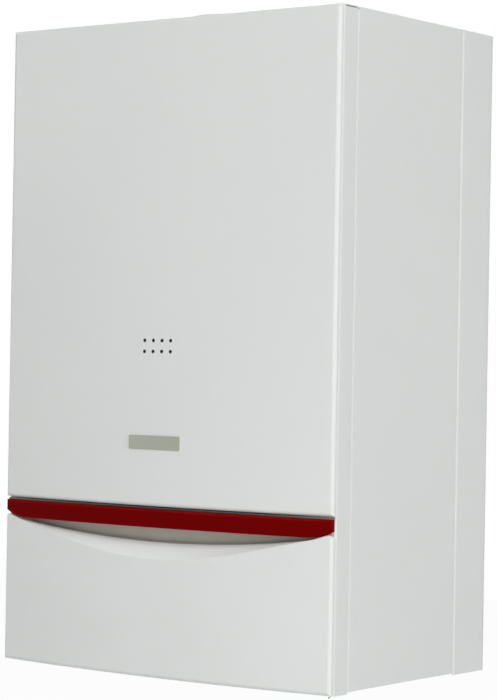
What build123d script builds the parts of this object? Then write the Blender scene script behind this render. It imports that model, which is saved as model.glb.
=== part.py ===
from build123d import *
import math
import os

# Wall-hung gas boiler with a closed combustion chamber, in millimetres.
# X runs to the right seen from the front, Y runs back to the wall and Z up.
# Every piece is modelled with the wall at y = 0 and the casing's lower edge at z = 0.
# The origin is then set at the hanging slots, between the two of them, as the pieces are written.

# Casing
casing_width = 456.0
casing_height = 720.0
casing_depth = 304.0
front_bow = 16.0
head_bow = 0.4
sheet = 1.2
fold_radius = 0.8
edge_fold_radius = 2.8
joggle_radius = 2.3
lap_gap = 0.4
seam_gap = 0.3
rail_depth = 64.0
rail_lip = 26.0
lap_length = 12.0
edge_return = 18.0

# Hanging slots in the back plate
hang_drop = 30.0
hang_side_margin = 78.0
hang_slot_length = 34.0
hang_slot_width = 10.0
rib_width = 14.0
rib_height = 2.0
rib_spacing_share = 0.5

# Front cover: a pan that laps over the side panels
panel_stand = 6.0
pan_flange = 25.6
pan_round = 3.0
groove = 1.0
window_side_margin = 23.0
window_foot = 16.0
window_rise = 9.3
sight_window_width = 64.0
sight_window_height = 40.0
corner_notch_length = 21.0
corner_notch_height = 1.4

# Upper panel with its viewing holes, and the badge plate
slit_height = 3.2
panel_wall = 2.0
panel_round = 4.4
stud_radius = 5.0
stud_side_inset = 40.0
stud_end_inset = 60.0
view_hole_radius = 2.0
view_hole_pitch = 12.0
view_hole_columns = 4
view_hole_rows = 2
view_hole_margin = 10.0
view_wall = 0.8
view_share = 0.2662
badge_width = 70.0
badge_height = 15.0
badge_thickness = 1.0
badge_level = 256.3
badge_corner = 1.5

# Grip bar, and the moulding that carries it
bar_foot = 163.7
bar_height = 20.0
bar_wall = 2.2
bar_round = 2.8
bar_end_inset = 0.6
bar_cut_width = 29.0
bar_cut_height = 7.6
carrier_wall = 2.0
carrier_half_inset = 1.2
carrier_bow_drop = 4.5
carrier_rise = 1.9
recess_depth = 9.0
recess_drop = 17.7
recess_half_inset = 26.0

# Control flap with its finger scoop
flap_foot = 0.6
flap_end_rise = 3.7
flap_wall = 2.5
flap_round = 4.4
flap_corner_width = 5.0
flap_corner_drop = 3.0
scoop_side_inset = 23.0
scoop_end_drop = 1.7
scoop_face_drop = 33.9
rim_drop = 16.9
rim_thickness = 3.0

# Flap hinge and catch
pivot_level = 4.0
pivot_setback = 4.0
pin_radius = 1.5
pin_length = 9.0
pin_clearance = 0.06
pin_seat_gap = 0.03
ear_radius = 3.0
ear_thickness = 2.5
ear_gap = 1.5
ear_inset = 38.0
ear_notch_gap = 1.0
catch_width = 8.0
catch_height = 14.0
catch_depth = 3.5
catch_drop = 35.7
catch_inset = 14.0

# Control box behind the flap
box_side_gap = 28.0
box_foot = 22.0
box_head = 146.0
box_front_setback = 21.0
box_depth = 93.0
box_wall = 2.5
box_round = 5.0
box_rest_width = 20.0
box_rest_inset = 50.0
control_level = 88.0

# Knobs
knob_spacing_share = 0.36
knob_radius = 19.0
knob_crown_radius = 15.5
knob_depth = 13.0
knob_gap = 0.5
knob_grip_width = 7.0
knob_dish = 5.0
knob_shaft_radius = 3.0
knob_shaft_length = 12.0
shaft_clearance = 0.06
pointer_width = 1.6
pointer_depth = 0.8

# Buttons
button_radius = 5.0
button_travel = 1.0
button_stand = 1.8
button_flange_radius = 6.6
button_flange = 1.2
button_clearance = 0.3
button_spacing = 24.0
button_drop = 24.0

# Display window
window_pane_width = 72.0
window_pane_height = 24.0
pane_thickness = 2.0
pane_rise = 8.0
pane_rebate = 2.0

# Pressure gauge
gauge_radius = 24.0
gauge_bezel_radius = 26.0
gauge_bezel_depth = 2.5
gauge_body_depth = 22.0
gauge_wall = 1.5
gauge_dial_depth = 6.0
gauge_glass_thickness = 1.5
needle_length = 17.0
needle_tail = 6.0
needle_width = 1.6
needle_thickness = 0.8
needle_hub_radius = 2.6
needle_lift = 1.5
needle_pin_radius = 0.8
needle_clearance = 0.05
needle_start_angle = 225.0

# Main board
board_thickness = 1.6
board_setback = 18.0
board_margin = 10.0
board_post_radius = 3.0
pot_size = 14.0
pot_depth = 8.2
transformer_width = 44.0
transformer_height = 38.0
transformer_depth = 34.0
relay_width = 20.0
relay_height = 26.0
relay_depth = 16.0
relay_count = 3
gland_radius = 8.0
gland_bore = 4.0
gland_drop = 12.0
gland_nut_radius = 10.5
gland_nut_height = 4.0
gland_inset = 28.0

# Sealed chamber
chamber_side_gap = 23.0
chamber_front_setback = 42.0
chamber_back_gap = 16.0
chamber_foot = 268.0
chamber_head_gap = 8.0
chamber_lip = 8.0
chamber_ear_height = 40.0
chamber_ear_foot = 14.0
lid_thickness = 1.2
lid_overlap = 6.0
lid_bead_width = 10.0
lid_bead_height = 2.0
lid_bead_inset = 46.0
lid_bead_frame_gap = 15.4
sight_glass_radius = 16.0
sight_glass_thickness = 3.0
sight_hole_radius = 12.0
sight_frame_radius = 22.0
sight_frame_thickness = 2.0

# Burner and combustion box
fire_side_gap = 65.0
fire_front_inset = 17.0
fire_rise = 54.0
fire_share = 0.592
board_lining = 10.0
lining_gap = 0.2
blade_count = 13
blade_width = 11.0
blade_end_gap = 10.0
blade_height = 30.5
blade_throat = 4.0
burner_rise = 16.0
burner_rail = 8.0
burner_front_gap = 6.0
manifold_radius = 7.0
manifold_rise = 7.0
manifold_setback = 9.6
nozzle_radius = 2.4
nozzle_length = 7.5
electrode_radius = 3.0
electrode_collar_radius = 5.0
electrode_collar = 3.0
electrode_length = 30.0
electrode_wire_radius = 1.0
electrode_wire_length = 26.0
electrode_rise = 12.0
electrode_spacing = 26.0
electrode_clearance = 0.1

# Heat exchanger, flue hood and fan
exchanger_share = 0.3
fin_count = 36
fin_thickness_share = 0.25
core_share = 0.34
cheek = 3.0
water_pipe_radius = 9.0
water_pipe_wall = 1.0
water_pipe_bend = 18.0
water_pipe_wall_gap = 25.0
water_pipe_step_level = 200.0
water_pipe_jog = 40.0
hood_neck_drop = 12.0
hood_neck_height = 128.0
hood_wall = 1.2
hood_neck_half_width = 82.0
hood_neck_depth = 52.0
fan_axis_offset = 44.0
fan_drop = 60.0
fan_front_gap = 4.8
fan_wall = 1.4
impeller_radius = 42.0
impeller_eye_radius = 31.0
impeller_back_gap = 9.2
impeller_disc = 1.4
impeller_blades = 30
impeller_blade_share = 0.95
impeller_blade_thickness = 0.9
impeller_blade_lean = 32.0
impeller_gap = 4.0
scroll_start_gap = 8.0
scroll_growth = 5.0
fan_shaft_radius = 3.0
fan_shaft_clearance = 0.06
motor_radius = 30.0
motor_length = 32.0
motor_waist_radius = 24.0
motor_waist_length = 6.0
switch_radius = 34.0
switch_depth = 24.0
switch_drop = 92.0
switch_nipple_radius = 3.0
switch_nipple_length = 12.0
flue_inner_radius = 30.0
flue_outer_radius = 50.0
flue_wall = 1.2
flue_rise = 12.0
flue_flange_radius = 64.0
flue_flange = 2.0
flue_clearance = 0.5

# Expansion vessel
vessel_side_gap = 43.0
vessel_depth = 88.0
vessel_rim = 5.0
vessel_rim_thickness = 8.0
vessel_slope_width = 95.0
vessel_dome_share = 0.74
vessel_drop = 210.0
vessel_pipe_radius = 5.0
vessel_pipe_bend = 16.0
vessel_pipe_inset = 16.0
vessel_pipe_step_share = 0.6142

# Water and gas connections through the bottom tray
port_end_inset = 26.0
port_setback = 150.0
port_drop = 12.0
heating_port_radius = 13.2
water_port_radius = 10.5
gas_port_radius = 13.2
port_wall = 2.5
thread_relief = 0.6
port_hole_gap = 2.0
port_nut_height = 9.0
port_nut_rim = 5.0

# Flow and return groups, with the valves under them
group_pipe_gap = 24.0
group_port_inset = 19.0
group_front = 184.0
group_back = 70.0
group_foot = 34.0
group_head = 95.0
group_round = 6.0
valve_axis_inset = 3.0
valve_axis_setback = 170.0
valve_stem_radius = 7.0
valve_nut_radius = 11.0
valve_nut_height = 8.0
valve_spindle_radius = 3.0
valve_spindle_length = 10.0
valve_spindle_clearance = 0.06
valve_knob_radius = 11.0
valve_knob_height = 14.0
valve_knob_drop = 6.0
valve_knob_flutes = 8
valve_knob_flute_radius = 2.0
valve_hole_gap = 3.0

# Pieces that stand on the two groups
actuator_width = 42.0
actuator_depth = 40.0
actuator_height = 46.0
exchanger_end_inset = 56.0
exchanger_depth = 68.0
exchanger_height = 50.0
exchanger_back_gap = 60.0
exchanger_plates = 14
exchanger_groove_share = 0.5
exchanger_groove = 1.2
pump_pipe_gap = 66.0
pump_level = 196.0
pump_volute_radius = 44.0
pump_volute_depth = 44.0
pump_back = 116.0
pump_neck_radius = 12.0
pump_outlet_radius = 11.0
pump_outlet_reach = 2.0
pump_motor_radius = 40.0
pump_motor_length = 76.0
pump_motor_round = 6.0
pump_ribs = 12
pump_rib_width = 3.0
pump_rib_height = 2.5
vent_radius = 11.0
vent_height = 22.0
vent_cap_radius = 6.0
vent_cap_height = 6.0
gas_valve_width = 84.0
gas_valve_depth = 74.0
gas_valve_foot = 150.0
gas_valve_height = 62.0
gas_valve_offset = -14.0
gas_coil_radius = 13.0
gas_coil_height = 15.0
gas_coil_spacing = 38.0
gas_coil_inset = 19.0
gas_pipe_radius = 7.0
gas_pipe_wall = 1.0
gas_pipe_bend = 12.0
gas_outlet_setback = 135.0
gas_pipe_step_level = 240.0
gas_boss_radius = 7.5
gas_boss_reach = 2.0
gas_tail_head = 40.0

# Places that follow from the sizes above
half = casing_width / 2
hang_height = casing_height - hang_drop
hang_spacing = casing_width - 2 * hang_side_margin
rib_spacing = hang_spacing * rib_spacing_share
window_width = casing_width - 2 * window_side_margin
scoop_half_width = half - scoop_side_inset
bar_head = bar_foot + bar_height
panel_foot = bar_head + slit_height
carrier_head = bar_head + carrier_rise
window_head = bar_foot + window_rise
recess_foot = bar_foot - recess_drop
flap_head = bar_foot + flap_end_rise
scoop_end_level = bar_foot - scoop_end_drop
scoop_face_level = bar_foot - scoop_face_drop
rim_level = bar_foot - rim_drop
catch_level = bar_foot - catch_drop
ear_half_spacing = half - ear_inset
catch_half_spacing = half - catch_inset
face_y = -casing_depth
pan_y = face_y + panel_stand
joggle_y = pan_y + pan_flange
rail_y = -rail_depth
lap = sheet + lap_gap
roof_z = casing_height - sheet
tray_head = lap + sheet
panel_back_y = pan_y - groove
pivot_y = pan_y - pivot_setback
box_half_width = half - box_side_gap
box_rest_half_spacing = box_half_width - box_rest_inset
gland_offset = box_half_width - gland_inset
knob_spacing = box_half_width * knob_spacing_share
box_front_y = face_y + box_front_setback
box_back_y = box_front_y + box_depth
box_inner_y = box_front_y + box_wall
board_y = box_inner_y + board_setback
chamber_half_width = half - chamber_side_gap
chamber_head = casing_height - chamber_head_gap
chamber_front_y = face_y + chamber_front_setback
chamber_back_y = -chamber_back_gap - vessel_depth
hood_neck_head = chamber_head - hood_neck_drop
hood_step_head = hood_neck_head - hood_neck_height
fan_level = hood_neck_head - fan_drop
switch_level = chamber_head - switch_drop
burner_foot = chamber_foot + burner_rise
manifold_level = burner_foot + manifold_rise
fire_half_width = chamber_half_width - fire_side_gap
fire_foot = chamber_foot + fire_rise
fire_head = fire_foot + (hood_step_head - fire_foot) * fire_share
fin_head = fire_head + (hood_step_head - fire_foot) * exchanger_share
blade_pitch = 2 * (fire_half_width - blade_end_gap) / blade_count
electrode_level = fire_foot + electrode_rise
view_height = fire_foot + (fire_head - fire_foot) * view_share
fire_front_y = chamber_front_y + fire_front_inset
fire_back_y = chamber_back_y - sheet
water_pipe_offset = chamber_half_width - water_pipe_wall_gap
water_pipe_foot_offset = water_pipe_offset - water_pipe_jog
vessel_radius = half - vessel_side_gap
vessel_flat_radius = vessel_radius - vessel_slope_width
vessel_level = hang_height - vessel_drop
group_outer = water_pipe_offset - group_pipe_gap
port_spacing = (group_outer - port_end_inset) / 2
group_inner = port_spacing - group_port_inset
valve_axis_offset = (group_inner + group_outer) / 2 - valve_axis_inset
exchanger_half_length = group_outer - exchanger_end_inset
vessel_pipe_offset = group_outer - vessel_pipe_inset
pump_offset = water_pipe_offset - pump_pipe_gap
port_y = -port_setback
pump_y = -pump_back - pump_volute_depth / 2
valve_y = -valve_axis_setback
core_z = (fire_head + fin_head) / 2
fan_back_y = fire_back_y - hood_neck_depth
fan_front_y = chamber_front_y + fan_front_gap + motor_length + motor_waist_length
fan_depth = fan_back_y - fan_front_y
impeller_width = fan_depth - 2 * fan_wall - impeller_gap - impeller_back_gap
fan_y = (fan_back_y + fan_front_y) / 2
gauge_x = -2 * knob_spacing
overrun = 10.0


def block(x, y, z):
    """Box between two limits on each axis."""
    size = [limits[1] - limits[0] for limits in (x, y, z)]
    middle = [(limits[1] + limits[0]) / 2 for limits in (x, y, z)]
    return Pos(*middle) * Box(*size)


def rod_x(y, z, radius, span):
    """Round bar along X between the two limits in span."""
    return Pos(sum(span) / 2, y, z) * Rot(0, 90, 0) * Cylinder(radius, span[1] - span[0])


def rod_y(x, z, radius, span):
    """Round bar along Y between the two limits in span."""
    return Pos(x, sum(span) / 2, z) * Rot(90, 0, 0) * Cylinder(radius, span[1] - span[0])


def rod_z(x, y, radius, span):
    """Upright round bar between the two limits in span."""
    return Pos(x, y, sum(span) / 2) * Cylinder(radius, span[1] - span[0])


def hexagon_z(x, y, radius, span):
    """Upright hexagon nut body, radius to its corners."""
    return Pos(x, y, span[0]) * extrude(RegularPolygon(radius, 6), amount=span[1] - span[0])


def pipe(points, bend, radius, wall):
    """Bent pipe along the points, with the same bend radius at each corner."""
    path = FilletPolyline(*points, radius=bend)
    ring = Plane(path @ 0, z_dir=path % 0) * (Circle(radius) - Circle(radius - wall))
    return sweep(ring, path=path)


def folded_sheet(points, radii, low, high):
    """Upright sheet-metal piece: a folded centre line in plan, raised from low to high."""
    line = FilletPolyline(*points, radius=radii)
    return Pos(0, 0, low) * extrude(trace(line, line_width=sheet), amount=high - low)


def mirrored(shape):
    """The same piece on the other side of the casing."""
    return mirror(shape, about=Plane.YZ)


def both_sides(shape):
    """A piece and its mirror image as one group."""
    return [shape, mirrored(shape)]


def write(node, *shapes):
    """Set the origin at the hanging slots and write one piece, or a group of like ones."""
    solids = [solid for shape in shapes for solid in shape.solids()]
    whole = solids[0] if len(solids) == 1 else Compound(children=solids)
    export_step(Pos(0, 0, -hang_height) * whole, f"parts/{node}.step")


# Casing


def back_plate():
    """Flat plate on the wall, with two hanging slots and two pressed stiffening ribs."""
    plate = block((-half, half), (-sheet, 0), (0, roof_z))
    slot = Rot(90, 0, 0) * extrude(SlotOverall(hang_slot_length, hang_slot_width), amount=overrun, both=True)
    for side in (-1, 1):
        plate -= Pos(side * hang_spacing / 2, 0, hang_height) * slot
        rib_x = side * rib_spacing / 2
        profile = Plane.XY * make_face(
            ThreePointArc(
                (rib_x - rib_width / 2, -sheet), (rib_x, -sheet - rib_height), (rib_x + rib_width / 2, -sheet)
            )
            + Line((rib_x + rib_width / 2, -sheet), (rib_x - rib_width / 2, -sheet))
        )
        rib_foot = group_head
        plate += Pos(0, 0, rib_foot) * extrude(profile, amount=hang_height - edge_return - rib_foot)
    return plate


def frame_rail():
    """Right-hand upright of the frame: a channel that closes the rear of the casing's side."""
    web_x = half - sheet / 2
    lip_x = half - rail_lip
    points = [
        (lip_x, rail_y + sheet / 2),
        (web_x, rail_y + sheet / 2),
        (web_x, -sheet - sheet / 2),
        (lip_x, -sheet - sheet / 2),
    ]
    rail = folded_sheet(points, [edge_fold_radius, fold_radius], 0, roof_z)
    tray_side = half - sheet - lap_gap
    tray_room = block((0, tray_side), (rail_y - overrun, -2 * sheet), (-overrun, tray_head + seam_gap))
    return rail - tray_room


def side_panel():
    """Right-hand side panel, joggled inwards at its front edge to pass under the pan's flange."""
    web_x = half - sheet / 2
    seam_y = rail_y - seam_gap - sheet / 2
    points = [
        (half - edge_return, seam_y),
        (web_x, seam_y),
        (web_x, joggle_y + lap_gap + lap),
        (web_x - lap, joggle_y + lap_gap),
        (web_x - lap, joggle_y - lap_length),
    ]
    radii = [fold_radius, joggle_radius, joggle_radius]
    panel = folded_sheet(points, radii, tray_head - seam_gap - lap_gap, roof_z)
    tongue_y = (joggle_y - overrun - lap_length, joggle_y + 2 * lap)
    tongue_room = block((0, half), tongue_y, (roof_z - lap, casing_height))
    tray_room = block((0, half - 2 * sheet - lap_gap), (joggle_y, 0), (0, tray_head + seam_gap))
    return panel - tongue_room - tray_room


def top_plate():
    """Roof of the casing, joggled down at its front edge, with the hole for the flue socket."""
    web_z = casing_height - sheet / 2
    line = FilletPolyline(
        (0, web_z),
        (joggle_y + lap_gap + lap, web_z),
        (joggle_y + lap_gap, web_z - lap),
        (joggle_y - lap_length, web_z - lap),
        radius=sheet,
    )
    plate = extrude(Plane.YZ * trace(line, line_width=sheet), amount=half, both=True)
    for side in (-1, 1):
        outer = side * half
        inner = side * (half - lap)
        edge = (min(inner, outer), max(inner, outer))
        plate -= block(edge, (pan_y, joggle_y + lap_gap), (roof_z - overrun, casing_height))
    hole = rod_z(0, fan_y, flue_outer_radius + flue_clearance, (roof_z - overrun, casing_height + overrun))
    return plate - hole


def bottom_tray():
    """Floor of the casing, with holes for the connections and rests for the control box."""
    side = half - 2 * sheet - 2 * lap_gap
    tray = block((-side, side), (joggle_y - lap_length, -2 * sheet), (lap, tray_head))
    for index, radius in enumerate(port_radii):
        hole = radius + port_hole_gap
        tray -= rod_z(port_x(index), port_y, hole, (-overrun, overrun))
    for offset in (-valve_axis_offset, valve_axis_offset):
        tray -= rod_z(offset, valve_y, valve_knob_radius + valve_hole_gap, (-overrun, overrun))
    rest_y = (box_front_y + box_back_y) / 2
    for offset in (-box_rest_half_spacing, box_rest_half_spacing):
        limits = (offset - box_rest_width / 2, offset + box_rest_width / 2)
        tray += block(limits, (rest_y, rest_y + sheet), (tray_head, box_foot))
        tray += block(limits, (rest_y, rest_y + edge_return), (box_foot - sheet, box_foot))
    return tray


# Front cover


def front_pan():
    """Pressed pan with rolled edges, the control window, the sight window and the hinge ears."""
    pan = block((-half, half), (pan_y, joggle_y), (0, casing_height))
    pan = fillet(pan.faces().sort_by(Axis.Y)[0].edges(), pan_round)
    room = block(
        (-half + sheet, half - sheet), (pan_y + sheet, joggle_y + overrun), (sheet, casing_height - sheet)
    )
    pan -= fillet(room.faces().sort_by(Axis.Y)[0].edges(), pan_round - sheet)
    through = (pan_y - overrun, joggle_y)
    pan -= block((-window_width / 2, window_width / 2), through, (window_foot, window_head))
    sight_low = view_height - sight_window_height / 2
    sight_high = view_height + sight_window_height / 2
    pan -= block((-sight_window_width / 2, sight_window_width / 2), through, (sight_low, sight_high))
    for side in (-1, 1):
        wall = sorted((side * (half - pan_round), side * (half + overrun)))
        notch = (pan_y + pan_round, pan_y + pan_round + corner_notch_length)
        notch_head = roof_z + sheet / 2
        pan -= block(wall, notch, (notch_head - corner_notch_height, notch_head))
        ear = [side * (ear_half_spacing - ear_thickness), side * ear_half_spacing]
        pan += hinge_ear(sorted(ear), pan_y + sheet)
        pan -= rod_x(pivot_y, pivot_level, pin_radius + pin_clearance, ear_span(side, overrun))
    return pan


def ear_span(side, extra):
    """X limits of the hinge pin on one side, lengthened at both ends by extra."""
    start = ear_half_spacing - ear_thickness - extra
    return sorted((side * start, side * (start + pin_length + 2 * extra)))


def hinge_ear(x_limits, back_y):
    """Ear round the flap's pivot, reaching back to the plate that carries it."""
    round_end = rod_x(pivot_y, pivot_level, ear_radius, x_limits)
    root = block(x_limits, (pivot_y, back_y), (pivot_level - ear_radius, pivot_level + ear_radius))
    return round_end + root


def bowed_plan(width, back, front, bow):
    """Plan of a front piece: straight back and ends, and a front that bows forwards by bow."""
    side = width / 2
    ends = Polyline((-side, front), (-side, back), (side, back), (side, front))
    face = ThreePointArc((side, front), (0, front - bow), (-side, front))
    return make_face(ends + face)


def upper_panel_form(inset, back):
    """Upper panel as a solid, drawn in by inset on every side but its back."""
    width = casing_width - 2 * inset
    foot = Plane.XY.offset(panel_foot + inset) * bowed_plan(width, back, face_y + inset, front_bow)
    head = Plane.XY.offset(casing_height - inset) * bowed_plan(width, back, face_y + inset, head_bow)
    return loft([foot, head], ruled=True)


def front_edges(form, front):
    """Edges round the front face of a bowed form."""
    return form.edges().filter_by(lambda edge: edge.bounding_box().max.Y < front + lap_gap)


def upper_panel():
    """White upper front: flat at its head, bowed at its foot, hollow, with screw studs and viewing holes."""
    form = upper_panel_form(0, panel_back_y)
    form = fillet(front_edges(form, face_y), panel_round)
    panel = form - upper_panel_form(panel_wall, panel_back_y + overrun)
    for stud_x in (stud_side_inset - half, half - stud_side_inset):
        for stud_z in (panel_foot + stud_end_inset, casing_height - stud_end_inset):
            stud = rod_y(stud_x, stud_z, stud_radius, (face_y - front_bow, pan_y))
            inside = upper_panel_form(panel_wall, pan_y)
            panel += stud & inside
    pocket_half = view_hole_columns / 2 * view_hole_pitch + view_hole_margin
    pocket_rise = view_hole_rows / 2 * view_hole_pitch + view_hole_margin
    pocket_z = (view_height - pocket_rise, view_height + pocket_rise)
    pocket = block((-pocket_half, pocket_half), (face_y - front_bow, panel_back_y), pocket_z)
    panel -= pocket & upper_panel_form(view_wall, panel_back_y)
    for column in range(view_hole_columns):
        for row in range(view_hole_rows):
            hole_x = (column - (view_hole_columns - 1) / 2) * view_hole_pitch
            hole_z = view_height + (row - (view_hole_rows - 1) / 2) * view_hole_pitch
            panel -= rod_y(hole_x, hole_z, view_hole_radius, (face_y - front_bow - overrun, pan_y))
    return panel


def badge_plate():
    """Bare plate that lies on the bowed face of the upper panel."""
    outline = Rectangle(badge_width, badge_height)
    outline = fillet(outline.vertices(), badge_corner)
    plate = Pos(0, face_y, badge_level) * Rot(90, 0, 0) * extrude(outline, amount=front_bow)
    share = (casing_height - badge_level) / (casing_height - panel_foot)
    face_here = face_y - head_bow - (front_bow - head_bow) * share
    front = face_here - badge_thickness
    plate &= block((-half, half), (front, face_y), (0, casing_height))
    return plate - upper_panel_form(0, panel_back_y)


def bar_outline(inset):
    """Front view of the grip bar, with both lower corners cut upwards in a shallow curve."""
    side = half - bar_end_inset - inset
    foot = bar_foot + inset
    head = bar_head - inset
    cut_x = side - bar_cut_width
    cut_z = foot + bar_cut_height
    middle = ((side + cut_x) / 2 + bar_wall, (foot + cut_z) / 2 - bar_wall / 2)
    right = ThreePointArc((cut_x, foot), middle, (side, cut_z))
    left = ThreePointArc((-side, cut_z), (-middle[0], middle[1]), (-cut_x, foot))
    upper = Polyline((side, cut_z), (side, head), (-side, head), (-side, cut_z))
    return make_face(Line((-cut_x, foot), (cut_x, foot)) + right + upper + left)


def bar_form(inset, back):
    """Grip bar as a solid, drawn in by inset on every side but its back."""
    plan = bowed_plan(casing_width - 2 * inset, back, face_y + inset, front_bow)
    slab = extrude(plan, amount=casing_height)
    front_view = Plane.XZ * bar_outline(inset)
    return slab & extrude(front_view, amount=2 * casing_depth)


def grip_bar():
    """Hollow bar across the whole front, open at its back."""
    back = pan_y - carrier_wall
    form = bar_form(0, back)
    form = fillet(front_edges(form, face_y), bar_round)
    return form - bar_form(bar_wall, back + overrun)


def grip_carrier():
    """Pale moulding on the pan: a strip behind the bar, a shelf over it and the finger recess below."""
    side = half - carrier_half_inset
    strip_front = pan_y - carrier_wall
    strip = block((-side, side), (strip_front, pan_y), (window_head - carrier_wall, carrier_head))
    shelf_front = strip_front - seam_gap
    plan = bowed_plan(2 * side, strip_front, shelf_front, front_bow - carrier_bow_drop)
    shelf_low = bar_head + seam_gap
    shelf = Pos(0, 0, shelf_low) * extrude(plan, amount=carrier_head - shelf_low)
    reach = window_width / 2 - seam_gap
    recess_back = pan_y + recess_depth
    trough = block((-reach, reach), (pan_y, recess_back), (recess_foot, window_head))
    hollow_side = half - recess_half_inset
    hollow = block(
        (-hollow_side, hollow_side),
        (strip_front - overrun, recess_back - carrier_wall),
        (recess_foot - overrun, window_head - carrier_wall),
    )
    return strip + shelf + (trough - hollow)


def dip(level_end, level_middle, y):
    """Upright region above the flap's top edge: a dipping curve, then a rise to a cut corner at each end."""
    middle = ThreePointArc((-scoop_half_width, level_end), (0, level_middle), (scoop_half_width, level_end))
    peak_x = half - flap_corner_width
    peak_z = level_end + flap_head - scoop_end_level
    outer_x = half + overrun
    outer_z = peak_z - (outer_x - peak_x) * flap_corner_drop / flap_corner_width
    ceiling = flap_head + overrun
    right = Polyline((scoop_half_width, level_end), (peak_x, peak_z), (outer_x, outer_z), (outer_x, ceiling))
    left_rise = ((-outer_x, ceiling), (-outer_x, outer_z), (-peak_x, peak_z), (-scoop_half_width, level_end))
    left = Polyline(*left_rise)
    front_view = Plane(origin=(0, y, 0), x_dir=(1, 0, 0), z_dir=(0, -1, 0))
    return front_view * make_face(middle + right + Line((outer_x, ceiling), (-outer_x, ceiling)) + left)


def scoop_cutter(inset):
    """Room above the flap's sloping finger scoop, lowered by inset."""
    front = dip(scoop_end_level - inset, scoop_face_level - inset, face_y - front_bow)
    rim = dip(scoop_end_level - inset, rim_level - inset, panel_back_y - rim_thickness)
    ahead = extrude(front, amount=overrun)
    behind = extrude(rim, amount=-2 * overrun)
    return loft([front, rim], ruled=True) + ahead + behind


def flap_form(inset, back):
    """Control flap as a solid, drawn in by inset on every side but its back."""
    plan = bowed_plan(casing_width - 2 * inset, back, face_y + inset, front_bow)
    return Pos(0, 0, flap_foot + inset) * extrude(plan, amount=flap_head + seam_gap - flap_foot - inset)


def control_flap():
    """White flap over the controls: a bowed shell with a finger scoop, hinge ribs and catch bosses."""
    form = flap_form(0, panel_back_y)
    edges = front_edges(form, face_y)
    form = fillet(edges.filter_by(lambda edge: edge.center().Z < flap_head - flap_round), flap_round)
    form -= scoop_cutter(0)
    hollow = flap_form(flap_wall, panel_back_y + overrun) - scoop_cutter(flap_wall)
    flap = form - hollow
    heel = rod_x(pivot_y, pivot_level, pivot_level - flap_foot, (-half, half))
    flap -= block((-half, half), (pivot_y, panel_back_y), (0, pivot_level)) - heel
    for side in (-1, 1):
        ear = [side * (ear_half_spacing - ear_thickness - ear_notch_gap), side * (ear_half_spacing + ear_gap)]
        notch_front = pivot_y - ear_radius - ear_notch_gap
        flap -= block(sorted(ear), (notch_front, panel_back_y), (0, pivot_level + ear_radius + ear_notch_gap))
        rib_start = ear_half_spacing + ear_gap
        rib = sorted((side * rib_start, side * (rib_start + ear_thickness)))
        rib_z = (pivot_level - ear_radius, pivot_level + 2 * ear_radius)
        web = block(rib, (face_y - front_bow, pivot_y), rib_z)
        web += rod_x(pivot_y, pivot_level, ear_radius, rib)
        flap += web & flap_form(flap_wall / 2, panel_back_y)
        flap -= rod_x(pivot_y, pivot_level, pin_radius + pin_seat_gap, ear_span(side, seam_gap))
        boss_start = catch_half_spacing - catch_width / 2
        boss = sorted((side * boss_start, side * (boss_start + catch_width)))
        pad_y = pan_y - catch_depth - seam_gap
        pad = block(boss, (face_y - front_bow, pad_y), (catch_level, catch_level + catch_height))
        flap += pad & flap_form(flap_wall / 2, panel_back_y)
    return flap


def flap_pin():
    """Hinge pin fixed in the flap's rib, turning in the pan's ear."""
    return rod_x(pivot_y, pivot_level, pin_radius, ear_span(1, 0))


def catch_magnet():
    """Magnet on the pan that holds the flap shut."""
    sides = (catch_half_spacing - catch_width / 2, catch_half_spacing + catch_width / 2)
    return block(sides, (pan_y - catch_depth, pan_y), (catch_level, catch_level + catch_height))


# Controls


def knob_places():
    """X of the mode knob, the heating knob and the water knob."""
    return -knob_spacing, knob_spacing, 2 * knob_spacing


def button_places():
    """X of the two buttons under the display."""
    return -button_spacing / 2, button_spacing / 2


def control_box():
    """Moulded box, open at its back, with the holes of its fascia and the posts of its board."""
    sides = (-box_half_width, box_half_width)
    box = block(sides, (box_front_y, box_back_y), (box_foot, box_head))
    box = fillet(box.faces().sort_by(Axis.Y)[0].edges(), box_round / 2)
    inner = box_half_width - box_wall
    box -= block(
        (-inner, inner), (box_inner_y, box_back_y + overrun), (box_foot + box_wall, box_head - box_wall)
    )
    through = (box_front_y - overrun, box_inner_y + overrun)
    for place in knob_places():
        box -= rod_y(place, control_level, knob_shaft_radius + shaft_clearance, through)
    for place in button_places():
        box -= rod_y(place, control_level - button_drop, button_radius + button_clearance, through)
    box -= rod_y(gauge_x, control_level, gauge_radius, through)
    pane_z = control_level + pane_rise
    pane = (-window_pane_width / 2, window_pane_width / 2)
    pane_heights = (pane_z - window_pane_height / 2, pane_z + window_pane_height / 2)
    box -= block(pane, (box_front_y - overrun, box_front_y + pane_thickness), pane_heights)
    box -= block(
        (pane[0] + pane_rebate, pane[1] - pane_rebate),
        through,
        (pane_heights[0] + pane_rebate, pane_heights[1] - pane_rebate),
    )
    for post_x, post_z in board_posts():
        box += rod_y(post_x, post_z, board_post_radius, (box_inner_y, board_y))
    gland_z = (box_foot - overrun, box_foot + box_wall + overrun)
    box -= rod_z(gland_offset, gland_y(), gland_radius, gland_z)
    return box


def gland_y():
    """Y of the cable gland in the box's floor."""
    return box_back_y - gland_nut_radius - 2 * box_wall


def board_limits():
    """X and Z limits of the main board."""
    left = gauge_x + gauge_bezel_radius + board_margin
    right = box_half_width - box_wall - board_margin
    foot = box_foot + box_wall + board_margin / 2
    head = box_head - box_wall - board_margin / 2
    return (left, right), (foot, head)


def board_posts():
    """Places of the four posts that carry the board."""
    (left, right), (foot, head) = board_limits()
    inset = board_post_radius * 2
    return [(x, z) for x in (left + inset, right - inset) for z in (foot + inset, head - inset)]


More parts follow.
